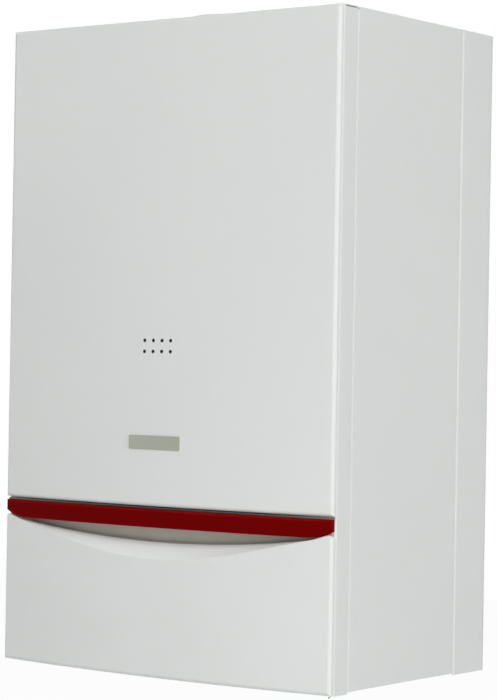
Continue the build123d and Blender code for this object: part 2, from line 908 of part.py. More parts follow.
def box_lid():
    """Plate that closes the control box at its back."""
    sides = (-box_half_width, box_half_width)
    lid = block(sides, (box_back_y, box_back_y + box_wall), (box_foot, box_head))
    inner = box_half_width - box_wall - seam_gap
    rim = block(
        (-inner, inner),
        (box_back_y - box_wall, box_back_y),
        (box_foot + box_wall + seam_gap, box_head - box_wall - seam_gap),
    )
    hollow = inner - box_wall
    rim -= block(
        (-hollow, hollow),
        (box_back_y - box_wall - overrun, box_back_y),
        (box_foot + 2 * box_wall + seam_gap, box_head - 2 * box_wall - seam_gap),
    )
    return lid + rim


def main_board():
    """Circuit board with its knob pots, switches, display, transformer and relays."""
    x_limits, z_limits = board_limits()
    board = block(x_limits, (board_y, board_y + board_thickness), z_limits)
    for place in knob_places():
        size = (place - pot_size / 2, place + pot_size / 2)
        height = (control_level - pot_size / 2, control_level + pot_size / 2)
        board += block(size, (board_y - pot_depth, board_y), height)
    stem_end = box_inner_y + button_flange + 2 * button_travel
    for place in button_places():
        board += rod_y(place, control_level - button_drop, button_radius / 2, (stem_end, board_y))
    pane_z = control_level + pane_rise
    inset = pane_rebate + seam_gap
    board += block(
        (-window_pane_width / 2 + inset, window_pane_width / 2 - inset),
        (box_inner_y + seam_gap, board_y),
        (pane_z - window_pane_height / 2 + inset, pane_z + window_pane_height / 2 - inset),
    )
    back = board_y + board_thickness
    foot = z_limits[0] + board_margin
    transformer_x = (x_limits[0] + board_margin, x_limits[0] + board_margin + transformer_width)
    board += block(transformer_x, (back, back + transformer_depth), (foot, foot + transformer_height))
    for index in range(relay_count):
        left = transformer_x[1] + board_margin + index * (relay_width + board_margin / 2)
        board += block((left, left + relay_width), (back, back + relay_depth), (foot, foot + relay_height))
    return board


def display_pane():
    """Clear pane set into the fascia in front of the display."""
    pane_z = control_level + pane_rise
    return block(
        (-window_pane_width / 2, window_pane_width / 2),
        (box_front_y, box_front_y + pane_thickness),
        (pane_z - window_pane_height / 2, pane_z + window_pane_height / 2),
    )


def knob(place):
    """Turning knob: a skirt, a dished crown with a raised grip, a pointer groove and its shaft."""
    half_section = Polyline(
        (0, 0),
        (knob_radius, 0),
        (knob_crown_radius, knob_depth / 2),
        (knob_crown_radius, knob_depth - knob_dish),
        (0, knob_depth - knob_dish),
        (0, 0),
    )
    body = revolve(Plane.XZ * make_face(half_section), axis=Axis.Z)
    grip = Pos(0, 0, knob_depth / 2) * Box(knob_grip_width, 2 * knob_crown_radius, knob_depth)
    body += grip & Cylinder(knob_crown_radius, 2 * knob_depth)
    groove_box = Box(pointer_width, knob_crown_radius, 2 * pointer_depth)
    body -= Pos(0, knob_crown_radius / 2, knob_depth) * groove_box
    reach = knob_shaft_length + knob_gap
    body += Pos(0, 0, -reach / 2) * Cylinder(knob_shaft_radius, reach)
    return Pos(place, box_front_y - knob_gap, control_level) * Rot(90, 0, 0) * body


def button(place):
    """Push button with the flange that keeps it in the fascia."""
    level = control_level - button_drop
    cap = rod_y(place, level, button_radius, (box_front_y - button_stand, box_inner_y + seam_gap))
    flange_y = (box_inner_y + seam_gap, box_inner_y + seam_gap + button_flange)
    return cap + rod_y(place, level, button_flange_radius, flange_y)


def gauge_body():
    """Case, bezel and dial of the pressure gauge, with the needle's pin."""
    front = box_front_y - gauge_bezel_depth
    back = box_front_y + gauge_body_depth
    body = rod_y(gauge_x, control_level, gauge_bezel_radius, (front, box_front_y))
    body += rod_y(gauge_x, control_level, gauge_radius - seam_gap, (box_front_y, back))
    dial_y = front + gauge_dial_depth
    body -= rod_y(gauge_x, control_level, gauge_radius - gauge_wall, (front - overrun, dial_y))
    pin_end = dial_y - needle_lift - needle_thickness
    return body + rod_y(gauge_x, control_level, needle_pin_radius, (pin_end, dial_y))


def gauge_needle():
    """Pointer on its hub, at the foot of the scale while the boiler is empty."""
    dial_y = box_front_y - gauge_bezel_depth + gauge_dial_depth
    outline = make_face(
        Polyline(
            (-needle_tail, needle_width),
            (-needle_tail, -needle_width),
            (needle_length, -needle_width / 4),
            (needle_length, needle_width / 4),
            (-needle_tail, needle_width),
        )
    )
    hand = extrude(outline + Circle(needle_hub_radius), amount=needle_thickness)
    hand -= Cylinder(needle_pin_radius + needle_clearance, overrun)
    turned = Rot(0, 0, needle_start_angle) * hand
    return Pos(gauge_x, dial_y - needle_lift + needle_thickness, control_level) * Rot(90, 0, 0) * turned


def gauge_glass():
    """Clear disc in the gauge's bezel."""
    front = box_front_y - gauge_bezel_depth
    return rod_y(gauge_x, control_level, gauge_radius - gauge_wall, (front, front + gauge_glass_thickness))


def cable_gland():
    """Gland in the box's floor for the supply cord, with its nut inside."""
    y = gland_y()
    gland = rod_z(gland_offset, y, gland_radius - seam_gap / 2, (box_foot - gland_drop, box_foot + box_wall))
    gland += hexagon_z(gland_offset, y, gland_nut_radius, (box_foot - gland_nut_height, box_foot))
    nut = (box_foot + box_wall, box_foot + box_wall + gland_nut_height)
    gland += hexagon_z(gland_offset, y, gland_nut_radius, nut)
    return gland - rod_z(gland_offset, y, gland_bore, (0, box_head))


# Sealed chamber


def chamber_box():
    """Sheet box open at its front, with an outward lip for the lid and ears to the frame rails."""
    outer = (-chamber_half_width, chamber_half_width)
    box = block(outer, (chamber_front_y, chamber_back_y), (chamber_foot, chamber_head))
    inner = chamber_half_width - sheet
    box -= block(
        (-inner, inner),
        (chamber_front_y - overrun, chamber_back_y - sheet),
        (chamber_foot + sheet, chamber_head - sheet),
    )
    lip_x = chamber_half_width + chamber_lip
    lip = block(
        (-lip_x, lip_x),
        (chamber_front_y, chamber_front_y + sheet),
        (chamber_foot - chamber_lip, chamber_head),
    )
    lip -= block(outer, (chamber_front_y - overrun, chamber_back_y), (chamber_foot, chamber_head - sheet))
    box += lip
    ear_back = rail_y
    foot_x = half - edge_return - seam_gap
    for level in (chamber_foot + chamber_ear_foot, chamber_head - chamber_ear_foot - chamber_ear_height):
        heights = (level, level + chamber_ear_height)
        for side in (-1, 1):
            wall = sorted((side * inner, side * chamber_half_width))
            foot = sorted((side * inner, side * foot_x))
            box += block(wall, (chamber_back_y - sheet, ear_back), heights)
            box += block(foot, (ear_back - sheet, ear_back), heights)
    through = (chamber_foot - overrun, chamber_foot + overrun)
    for pipe_x in (-water_pipe_offset, water_pipe_offset):
        box -= rod_z(pipe_x, pump_y, water_pipe_radius + seam_gap, through)
    box -= rod_z(0, manifold_y(), gas_pipe_radius + seam_gap, through)
    roof = (chamber_head - overrun, chamber_head + overrun)
    return box - rod_z(0, fan_y, flue_outer_radius - flue_wall, roof)


def chamber_lid():
    """Lid of the sealed chamber, stiffened by a raised bead, with the hole of the sight glass."""
    side = chamber_half_width + lid_overlap
    lid_y = (chamber_front_y - lid_thickness, chamber_front_y)
    lid = block((-side, side), lid_y, (chamber_foot - lid_overlap, chamber_head))
    bead_x = side - lid_bead_inset
    bead_foot = view_height - sight_frame_radius - lid_bead_frame_gap - lid_bead_width
    bead_head = chamber_head - lid_bead_inset
    bead = block((-bead_x, bead_x), (lid_y[0] - lid_bead_height, lid_y[0]), (bead_foot, bead_head))
    bead -= block(
        (-bead_x + lid_bead_width, bead_x - lid_bead_width),
        (lid_y[0] - overrun, lid_y[0]),
        (bead_foot + lid_bead_width, bead_head - lid_bead_width),
    )
    through = (lid_y[0] - overrun, chamber_front_y + overrun)
    return lid + bead - rod_y(0, view_height, sight_glass_radius, through)


def sight_glass():
    """Round glass in the lid, in line with the viewing holes."""
    front = chamber_front_y - sight_glass_thickness
    return rod_y(0, view_height, sight_glass_radius - seam_gap, (front, chamber_front_y))


def sight_frame():
    """Ring that holds the sight glass on the lid."""
    back = chamber_front_y - lid_thickness
    front = chamber_front_y - sight_glass_thickness - sight_frame_thickness
    ring = rod_y(0, view_height, sight_frame_radius, (front, back))
    ring -= rod_y(0, view_height, sight_glass_radius, (front + sight_frame_thickness, back))
    return ring - rod_y(0, view_height, sight_hole_radius, (front - overrun, back))


# Burner, combustion box and heat exchanger


def fire_tube(half_width, front, back, low, high, wall):
    """Upright rectangular tube."""
    outer = block((-half_width, half_width), (front, back), (low, high))
    return outer - block(
        (-half_width + wall, half_width - wall), (front + wall, back - wall), (low - overrun, high + overrun)
    )


def electrode_places():
    """X of the two ignition electrodes and the flame sensor."""
    return [index * electrode_spacing - 2 * electrode_spacing for index in (0, 1, 4)]


def combustion_box():
    """Sheet shaft between burner and heat exchanger, with the sight hole and the electrodes' holes."""
    box = fire_tube(fire_half_width, fire_front_y, fire_back_y, fire_foot, fire_head, sheet)
    through = (fire_front_y - overrun, fire_front_y + overrun)
    box -= rod_y(0, view_height, sight_hole_radius, through)
    for place in electrode_places():
        box -= rod_y(place, electrode_level, electrode_radius + electrode_clearance, through)
    return box


def insulation():
    """Ceramic fibre boards inside the combustion box: front, back and two sides."""
    side = fire_half_width - sheet - lining_gap
    front = fire_front_y + sheet + lining_gap
    back = fire_back_y - sheet - lining_gap
    heights = (fire_foot, fire_head)
    front_board = block((-side, side), (front, front + board_lining), heights)
    front_board -= rod_y(0, view_height, sight_hole_radius, (front - overrun, front + 2 * board_lining))
    for place in electrode_places():
        hole = electrode_radius + seam_gap
        front_board -= rod_y(place, electrode_level, hole, (front - overrun, front + 2 * board_lining))
    back_board = block((-side, side), (back - board_lining, back), heights)
    side_board = block((side - board_lining, side), (front + board_lining, back - board_lining), heights)
    return [front_board, back_board, side_board, mirrored(side_board)]


def burner_blade(front, back):
    """One burner blade: a leaf that swells to its slotted head, over a round throat."""
    head = blade_height
    neck = blade_throat / 2
    belly = (blade_width / 2, head * 3 / 4)
    section = make_face(
        Polyline((-neck, 0), (neck, 0), (neck, head / 2))
        + ThreePointArc((neck, head / 2), belly, (blade_throat, head))
        + Line((blade_throat, head), (-blade_throat, head))
        + ThreePointArc((-blade_throat, head), (-belly[0], belly[1]), (-neck, head / 2))
        + Line((-neck, head / 2), (-neck, 0))
    )
    return extrude(Plane.XZ * section, amount=back - front)


def burner():
    """Rack of burner blades on two cross rails, with a flange under the combustion box."""
    front = fire_front_y + sheet + burner_front_gap
    back = fire_back_y - sheet - burner_front_gap
    blade = Pos(0, back, burner_foot + burner_rail - sheet) * burner_blade(front, back)
    side = blade_pitch * blade_count / 2 + burner_rail / 2
    rail_head = burner_foot + burner_rail
    frame = fire_tube(side, front + burner_rail, back - burner_rail, burner_foot, rail_head, burner_rail)
    places = [(index - (blade_count - 1) / 2) * blade_pitch for index in range(blade_count)]
    rack = frame + [Pos(place, 0, 0) * blade for place in places]
    skirt = fire_tube(fire_half_width, fire_front_y, fire_back_y, burner_foot, fire_foot, sheet)
    mouth = (burner_foot + sheet, burner_foot + 2 * burner_rail)
    skirt -= block((-side, side), (fire_front_y - overrun, fire_front_y + 2 * sheet), mouth)
    shelf_width = burner_rail + burner_front_gap + 2 * sheet
    shelf_head = burner_foot + sheet
    shelf = fire_tube(fire_half_width, fire_front_y, fire_back_y, burner_foot, shelf_head, shelf_width)
    return rack + skirt + shelf


def manifold_y():
    """Y of the gas manifold's axis."""
    return chamber_front_y + manifold_setback - sheet


def gas_manifold():
    """Tube in front of the burner with one nozzle to each blade and its inlet in the middle."""
    side = blade_pitch * blade_count / 2
    tube = rod_x(manifold_y(), manifold_level, manifold_radius, (-side, side))
    for index in range(blade_count):
        place = (index - (blade_count - 1) / 2) * blade_pitch
        nozzle = (manifold_y(), manifold_y() + manifold_radius + nozzle_length)
        tube += rod_y(place, manifold_level, nozzle_radius, nozzle)
    boss_foot = manifold_level - manifold_radius - gas_boss_reach
    return tube + rod_z(0, manifold_y(), gas_boss_radius, (boss_foot, manifold_level))


def electrodes():
    """Two ignition electrodes and the flame sensor: ceramic bodies with bent wires over the burner."""
    pieces = []
    for place in electrode_places():
        front = fire_front_y - electrode_length / 2
        body = rod_y(place, electrode_level, electrode_radius, (front, front + electrode_length))
        collar = (fire_front_y - electrode_collar, fire_front_y)
        body += rod_y(place, electrode_level, electrode_collar_radius, collar)
        wire = (front + electrode_length, front + electrode_length + electrode_wire_length)
        body += rod_y(place, electrode_level, electrode_wire_radius, wire)
        pieces.append(body)
    return pieces


def heat_exchanger():
    """Copper block: comb-like fins above and below a water core, cheeks and two pipe stubs."""
    front = fire_front_y
    back = fire_back_y
    side = fire_half_width
    core_height = (fin_head - fire_head) * core_share
    body = block(
        (-side, side), (front + cheek, back - cheek), (core_z - core_height / 2, core_z + core_height / 2)
    )
    pitch = 2 * (side - cheek) / fin_count
    fin = block(
        (-pitch * fin_thickness_share / 2, pitch * fin_thickness_share / 2),
        (front + cheek, back - cheek),
        (fire_head, fin_head),
    )
    fins = [Pos((index - (fin_count - 1) / 2) * pitch, 0, 0) * fin for index in range(fin_count)]
    return body + fins + fire_tube(side, front, back, fire_head, fin_head, cheek)


def hood_form(inset):
    """Hood as a solid, drawn in by inset at its sides and its top: a sloping step under a flat neck."""
    back = fire_back_y - inset
    front = fire_front_y + inset
    neck_front = fire_back_y - hood_neck_depth + inset
    neck_side = hood_neck_half_width - inset
    wide = Pos(0, (front + back) / 2, fin_head) * Rectangle(2 * (fire_half_width - inset), back - front)
    narrow = Pos(0, (neck_front + back) / 2, hood_step_head) * Rectangle(2 * neck_side, back - neck_front)
    neck = block((-neck_side, neck_side), (neck_front, back), (hood_step_head, hood_neck_head - inset))
    return loft([wide, narrow], ruled=True) + neck


def flue_hood():
    """Sheet hood that gathers the exhaust and turns it forwards into the fan's inlet."""
    hood = hood_form(0) - hood_form(hood_wall)
    inlet = (fan_back_y - overrun, fan_back_y + 2 * hood_wall)
    return hood - rod_y(-fan_axis_offset, fan_level, impeller_eye_radius, inlet)


def scroll_outline(inset):
    """Snail outline of the fan: four quarter arcs of growing radius and a straight outlet upwards."""
    start = impeller_radius + scroll_start_gap - inset
    step = scroll_growth
    axis_x = -fan_axis_offset
    radii = [start + step * count for count in range(5)]
    axis = Vector(axis_x, fan_level)
    right = axis + Vector(radii[4], 0)
    below = axis - Vector(0, radii[3])
    left = axis - Vector(radii[2], 0)
    above = axis + Vector(0, radii[1])
    diagonal = math.sqrt(0.5)
    first = ThreePointArc(right, axis + Vector(1, -1) * diagonal * (radii[4] + radii[3]) / 2, below)
    second = ThreePointArc(below, axis + Vector(-1, -1) * diagonal * (radii[3] + radii[2]) / 2, left)
    third = ThreePointArc(left, axis + Vector(-1, 1) * diagonal * (radii[2] + radii[1]) / 2, above)
    outlet_right = flue_inner_radius - inset
    outlet_left = -flue_inner_radius + inset
    head = hood_neck_head - inset
    return make_face(
        first
        + second
        + third
        + Polyline(above, (outlet_left, above.Y), (outlet_left, head), (outlet_right, head), right)
    )


def fan_housing():
    """Snail housing of the exhaust fan, with its inlet at the back and its spigot upwards."""
    outer = Pos(0, fan_back_y, 0) * extrude(Plane.XZ * scroll_outline(0), amount=fan_depth)
    inner = Pos(0, fan_back_y - fan_wall, 0) * extrude(
        Plane.XZ * scroll_outline(fan_wall), amount=fan_depth - 2 * fan_wall
    )
    housing = outer - inner
    axis_x = -fan_axis_offset
    back_wall = (fan_back_y - 2 * fan_wall, fan_back_y + overrun)
    housing -= rod_y(axis_x, fan_level, impeller_eye_radius, back_wall)
    shaft_hole = fan_shaft_radius + fan_shaft_clearance
    housing -= rod_y(axis_x, fan_level, shaft_hole, (fan_front_y - overrun, fan_front_y + 2 * fan_wall))
    spigot = (hood_neck_head, chamber_head)
    housing += rod_z(0, fan_y, fan_depth / 2 - fan_wall, spigot)
    bore = fan_depth / 2 - 2 * fan_wall
    return housing - rod_z(0, fan_y, bore, (hood_neck_head - overrun, chamber_head + overrun))


def fan_impeller():
    """Forward-curved impeller: a hub disc on the motor side, a ring at the eye and leaning blades."""
    disc = Cylinder(impeller_radius, impeller_disc)
    front = fan_front_y + fan_wall + impeller_gap
    wheel = Pos(0, 0, impeller_width - impeller_disc / 2) * disc
    wheel += Pos(0, 0, impeller_disc / 2) * (disc - Cylinder(impeller_eye_radius, 2 * impeller_disc))
    ring_width = impeller_radius - impeller_eye_radius
    blade_length = ring_width * impeller_blade_share
    blade = Box(blade_length, impeller_blade_thickness, impeller_width - impeller_disc)
    blade = Rot(0, 0, impeller_blade_lean) * blade
    blade = Pos(impeller_eye_radius + ring_width / 2, 0, impeller_width / 2) * blade
    wheel += [Rot(0, 0, index * 360 / impeller_blades) * blade for index in range(impeller_blades)]
    reach = impeller_gap + fan_wall + motor_waist_length
    wheel += Pos(0, 0, impeller_width + reach / 2) * Cylinder(fan_shaft_radius, reach)
    wheel += Pos(0, 0, impeller_width - 2 * impeller_disc) * Cylinder(3 * fan_shaft_radius, 3 * impeller_disc)
    placed = Rot(90, 0, 0) * wheel
    return Pos(-fan_axis_offset, front + impeller_width, fan_level) * placed


def fan_motor():
    """Round motor on the front of the fan, with a waist for its bearing."""
    axis_x = -fan_axis_offset
    waist = rod_y(axis_x, fan_level, motor_waist_radius, (fan_front_y - motor_waist_length, fan_front_y))
    body = (fan_front_y - motor_waist_length - motor_length, fan_front_y - motor_waist_length)
    motor = waist + rod_y(axis_x, fan_level, motor_radius, body)
    bearing = fan_shaft_radius + fan_shaft_clearance
    seat = (fan_front_y - motor_waist_length - seam_gap, fan_front_y)
    return motor - rod_y(axis_x, fan_level, bearing, seat)


def pressure_switch():
    """Round air-pressure switch on the chamber's right wall, with two hose nipples."""
    wall_x = chamber_half_width - sheet
    middle_y = (chamber_front_y + chamber_back_y) / 2
    body = rod_x(middle_y, switch_level, switch_radius, (wall_x - switch_depth, wall_x))
    for offset in (-switch_radius / 2, switch_radius / 2):
        span = (wall_x - switch_depth - switch_nipple_length, wall_x - switch_depth)
        body += rod_x(middle_y + offset, switch_level, switch_nipple_radius, span)
    return body


def flue_socket():
    """Twin socket on the roof: an outer air collar on a flange, and the exhaust tube inside it."""
    roof = casing_height
    head = roof + flue_rise
    wall = flue_wall
    low = chamber_head - sheet
    collar = rod_z(0, fan_y, flue_outer_radius, (chamber_head, head))
    collar += rod_z(0, fan_y, flue_flange_radius, (roof, roof + flue_flange))
    collar -= rod_z(0, fan_y, flue_outer_radius - wall, (low - overrun, head + overrun))
    tube = rod_z(0, fan_y, flue_inner_radius, (chamber_head, head))
    tube -= rod_z(0, fan_y, flue_inner_radius - wall, (low - overrun, head + overrun))
    spoke = block(
        (flue_inner_radius - wall / 2, flue_outer_radius - wall / 2), (-wall, wall), (chamber_head, roof)
    )
    spokes = [Pos(0, fan_y, 0) * Rot(0, 0, turn) * spoke for turn in (0, 90, 180, 270)]
    return collar + tube + spokes


def expansion_vessel():
    """Flat round vessel behind the chamber: two domed halves with a rolled rim."""
    depth = vessel_depth / 2
    rim = vessel_rim_thickness / 2
    half_section = (
        Line((0, -depth), (vessel_flat_radius, -depth))
        + ThreePointArc(
            (vessel_flat_radius, -depth),
            ((vessel_flat_radius + vessel_radius - vessel_rim) / 2, -depth * vessel_dome_share),
            (vessel_radius - vessel_rim, -rim),
        )
        + Polyline(
            (vessel_radius - vessel_rim, -rim),
            (vessel_radius, -rim),
            (vessel_radius, rim),
            (vessel_radius - vessel_rim, rim),
        )
        + ThreePointArc(
            (vessel_radius - vessel_rim, rim),
            ((vessel_flat_radius + vessel_radius - vessel_rim) / 2, depth * vessel_dome_share),
            (vessel_flat_radius, depth),
        )
        + Polyline((vessel_flat_radius, depth), (0, depth), (0, -depth))
    )
    body = revolve(Plane.XZ * make_face(half_section), axis=Axis.Z)
    middle_y = chamber_back_y + depth
    vessel = Pos(0, middle_y, vessel_level) * Rot(90, 0, 0) * body
    x = vessel_pipe_offset
    foot_y = -group_back - group_round - vessel_pipe_radius
    rim_z = vessel_level - math.sqrt((vessel_radius - vessel_rim) ** 2 - x ** 2)
    step_z = group_head + (rim_z - group_head) * vessel_pipe_step_share
    points = [
        (x, foot_y, group_head),
        (x, foot_y, step_z),
        (x, middle_y, step_z + 2 * vessel_pipe_bend),
        (x, middle_y, rim_z + vessel_pipe_radius),
    ]
    return vessel + pipe(points, vessel_pipe_bend, vessel_pipe_radius, vessel_pipe_radius / 2)


# Water and gas


def port_x(index):
    """X of a connection, counted from the left: heating flow, hot water, gas, cold water, heating return."""
    return (index - 2) * port_spacing


port_radii = (heating_port_radius, water_port_radius, gas_port_radius, water_port_radius, heating_port_radius)


def connection(index, head):
    """Threaded tail below the tray, its plain shank and the hexagon that seats on the tray."""
    radius = port_radii[index]
    x = port_x(index)
    tail = rod_z(x, port_y, radius, (-port_drop, 0))
    tail += rod_z(x, port_y, radius - thread_relief, (0, head))
    tail += hexagon_z(x, port_y, radius + port_nut_rim, (tray_head, tray_head + port_nut_height))
    return tail - rod_z(x, port_y, radius - port_wall, (-port_drop - overrun, head + overrun))


def group_body():
    """Cast valve block over two connections on the right: the return side."""
    body = block((group_inner, group_outer), (-group_front, -group_back), (group_foot, group_head))
    return fillet(body.edges().filter_by(Axis.Z), group_round)


def valve_body(offset):
    """Valve stem under a group, with a nut above and the bore of its knob's spindle below."""
    foot = valve_knob_top() + seam_gap
    stem = rod_z(offset, valve_y, valve_stem_radius, (foot, group_foot))
    stem += hexagon_z(offset, valve_y, valve_nut_radius, (group_foot - valve_nut_height, group_foot))
    bore = valve_spindle_radius + valve_spindle_clearance
    return stem - rod_z(offset, valve_y, bore, (foot - overrun, foot + valve_spindle_length + seam_gap))


def valve_knob_top():
    """Upper face of the two valve knobs."""
    return valve_knob_height - valve_knob_drop


def valve_knob(offset):
    """Fluted knob under the tray, on the valve's spindle."""
    low = -valve_knob_drop
    body = rod_z(offset, valve_y, valve_knob_radius, (low, low + valve_knob_height))
    for index in range(valve_knob_flutes):
        angle = 2 * math.pi * index / valve_knob_flutes
        flute_x = offset + valve_knob_radius * math.cos(angle)
        flute_y = valve_y + valve_knob_radius * math.sin(angle)
        body -= rod_z(flute_x, flute_y, valve_knob_flute_radius, (low - overrun, low + 2 * valve_knob_height))
    spindle_head = valve_knob_top() + valve_spindle_length
    return body + rod_z(offset, valve_y, valve_spindle_radius, (valve_knob_top(), spindle_head))


def valve_actuator():
    """Motor of the three-way valve on the flow group."""
    middle_x = -(group_inner + group_outer) / 2 + actuator_width / 2
    sides = (middle_x - actuator_width, middle_x)
    depths = (-group_front, actuator_depth - group_front)
    body = block(sides, depths, (group_head, group_head + actuator_height))
    return fillet(body.edges().filter_by(Axis.Z), group_round)


def plate_exchanger():
    """Stack of pressed plates lying across the two groups, grooved between the plates."""
    back = -exchanger_back_gap
    front = back - exchanger_depth
    head = group_head + exchanger_height
    body = block((-exchanger_half_length, exchanger_half_length), (front, back), (group_head, head))
    body = fillet(body.edges().filter_by(Axis.Z), group_round * 2)
    pitch = exchanger_height / exchanger_plates
    slot = pitch * exchanger_groove_share
    inner_x = exchanger_half_length - exchanger_groove
    for index in range(1, exchanger_plates):
        level = group_head + index * pitch
        ring = block((-half, half), (front - overrun, back + overrun), (level - slot / 2, level + slot / 2))
        core_depths = (front + exchanger_groove, back - exchanger_groove)
        core = block((-inner_x, inner_x), core_depths, (level - slot, level + slot))
        core = fillet(core.edges().filter_by(Axis.Z), group_round * 2)
        body -= ring - core
    return body


def pump_body():
    """Pump volute over the return group, with its neck, side outlet and automatic air vent."""
    front = -pump_back - pump_volute_depth
    body = rod_y(pump_offset, pump_level, pump_volute_radius, (front, -pump_back))
    body += rod_z(pump_offset, pump_y, pump_neck_radius, (group_head, pump_level))
    body += rod_x(pump_y, pump_level, pump_outlet_radius, (pump_offset, pump_outlet_x()))
    crown = pump_level + pump_volute_radius
    body += rod_z(pump_offset, pump_y, vent_radius, (pump_level, crown + vent_height / 2))
    vent_head = crown + vent_height / 2
    return body + rod_z(pump_offset, pump_y, vent_cap_radius, (vent_head, vent_head + vent_cap_height))


def pump_outlet_x():
    """X of the face of the pump's outlet."""
    return pump_offset + pump_volute_radius + pump_outlet_reach


def pump_motor():
    """Round motor on the front of the pump, with cooling ribs along it."""
    back = -pump_back - pump_volute_depth
    front = back - pump_motor_length
    body = rod_y(pump_offset, pump_level, pump_motor_radius, (front, back))
    body = fillet(body.faces().sort_by(Axis.Y)[0].edges(), pump_motor_round)
    rib = block(
        (pump_motor_radius - pump_rib_height, pump_motor_radius + pump_rib_height),
        (front + 2 * pump_motor_round, back - pump_motor_round),
        (-pump_rib_width / 2, pump_rib_width / 2),
    )
    turns = [index * 360 / pump_ribs for index in range(pump_ribs)]
    return body + [Pos(pump_offset, 0, pump_level) * Rot(0, turn, 0) * rib for turn in turns]


def gas_valve():
    """Gas valve block over the gas connection, with two coils on top."""
    sides = (gas_valve_offset - gas_valve_width / 2, gas_valve_offset + gas_valve_width / 2)
    front = port_y - gas_valve_depth / 2
    head = gas_valve_foot + gas_valve_height
    body = block(sides, (front, front + gas_valve_depth), (gas_valve_foot, head))
    body = fillet(body.edges().filter_by(Axis.Z), group_round)
    for side in (-1, 1):
        coil_x = gas_valve_offset + side * gas_coil_spacing / 2
        body += rod_z(coil_x, front + gas_coil_inset, gas_coil_radius, (head, head + gas_coil_height))
    return body


def gas_connection():
    """Threaded gas tail with the narrower riser to the gas valve."""
    tail = connection(2, gas_tail_head)
    riser = rod_z(0, port_y, gas_pipe_radius, (gas_tail_head, gas_valve_foot))
    shoulder_radius = gas_port_radius - thread_relief
    shoulder = rod_z(0, port_y, shoulder_radius, (gas_tail_head - port_wall, gas_tail_head))
    bore = rod_z(0, port_y, gas_pipe_radius - gas_pipe_wall, (0, gas_valve_foot))
    return tail + shoulder + riser - bore


def gas_pipe():
    """Pipe from the gas valve up into the chamber, to the middle of the manifold."""
    outlet_y = -gas_outlet_setback
    points = [
        (0, outlet_y, gas_valve_foot + gas_valve_height),
        (0, outlet_y, gas_pipe_step_level),
        (0, manifold_y(), gas_pipe_step_level),
        (0, manifold_y(), manifold_level - manifold_radius - gas_boss_reach),
    ]
    return pipe(points, gas_pipe_bend, gas_pipe_radius, gas_pipe_wall)


def flow_pipe():
    """Copper pipe from the heat exchanger down to the flow group."""
    points = [
        (-water_pipe_foot_offset, pump_y, group_head),
        (-water_pipe_foot_offset, pump_y, water_pipe_step_level),
        (-water_pipe_offset, pump_y, water_pipe_step_level),
        (-water_pipe_offset, pump_y, core_z),
        (-fire_half_width, pump_y, core_z),
    ]
    return pipe(points, water_pipe_bend, water_pipe_radius, water_pipe_wall)


def return_pipe():
    """Copper pipe from the pump's outlet up to the heat exchanger."""
    points = [
        (pump_outlet_x(), pump_y, pump_level),
        (water_pipe_offset, pump_y, pump_level),
        (water_pipe_offset, pump_y, core_z),
        (fire_half_width, pump_y, core_z),
    ]
    return pipe(points, water_pipe_bend, water_pipe_radius, water_pipe_wall)


os.makedirs("parts", exist_ok=True)

# Casing pieces
write("back_plate", back_plate())
write("right_frame_rail", frame_rail())
write("left_frame_rail", mirrored(frame_rail()))
write("right_side_panel", side_panel())
write("left_side_panel", mirrored(side_panel()))
write("top_plate", top_plate())
write("bottom_tray", bottom_tray())

# Pieces of the front cover and the flap
write("front_pan", front_pan())
write("upper_panel", upper_panel())
write("badge_plate", badge_plate())
write("grip_bar", grip_bar())
write("grip_carrier", grip_carrier())
write("catch_magnets", *both_sides(catch_magnet()))
write("control_flap", control_flap())
write("flap_pins", *both_sides(flap_pin()))

# Controls
mode_place, heating_place, water_place = knob_places()
reset_place, info_place = button_places()
write("control_box", control_box())
write("control_box_lid", box_lid())
write("main_board", main_board())
write("display_pane", display_pane())
write("mode_knob", knob(mode_place))
write("heating_knob", knob(heating_place))
write("water_knob", knob(water_place))
write("reset_button", button(reset_place))
write("info_button", button(info_place))
write("gauge_body", gauge_body())
write("gauge_needle", gauge_needle())
write("gauge_glass", gauge_glass())
write("cable_gland", cable_gland())

# Combustion side
write("chamber_box", chamber_box())
write("chamber_lid", chamber_lid())
write("sight_glass", sight_glass())
write("sight_frame", sight_frame())
write("combustion_box", combustion_box())
write("insulation_boards", *insulation())
write("burner", burner())
write("gas_manifold", gas_manifold())
write("electrodes", *electrodes())
write("heat_exchanger", heat_exchanger())
write("flue_hood", flue_hood())
write("fan_housing", fan_housing())
write("fan_impeller", fan_impeller())
write("fan_motor", fan_motor())
write("pressure_switch", pressure_switch())
write("flue_socket", flue_socket())

# Water and gas side
write("expansion_vessel", expansion_vessel())
write("pump_body", pump_body())
write("pump_motor", pump_motor())
write("return_group", group_body() + valve_body(valve_axis_offset))
write("flow_group", mirrored(group_body()))
write("valve_actuator", valve_actuator())
write("plate_exchanger", plate_exchanger())
write("safety_valve", valve_body(-valve_axis_offset))
write("safety_knob", valve_knob(-valve_axis_offset))
write("filling_knob", valve_knob(valve_axis_offset))
write("water_connections", *[connection(index, group_foot) for index in (0, 1, 3, 4)])
write("gas_connection", gas_connection())
write("gas_valve", gas_valve())
write("gas_pipe", gas_pipe())
write("flow_pipe", flow_pipe())
write("return_pipe", return_pipe())
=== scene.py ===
# %% [markdown]
# # Dressing a wall-hung gas boiler
# The solids come packed from CAD: a white sheet casing, a bowed front with a red grip bar, and
# everything that such a boiler holds inside. Blender adds what the solids lack: finishes, screws,
# threads, marks and light. Loading the frame first puts every solid where it belongs, so nothing
# here has to be placed by eye. The frame's origin is at the hanging slots, 690 mm above the
# casing's foot, while drawings of such a boiler count from the foot: at() turns one into the other.

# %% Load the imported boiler
import math

import bmesh
import bpy
from mathutils import Matrix, Vector


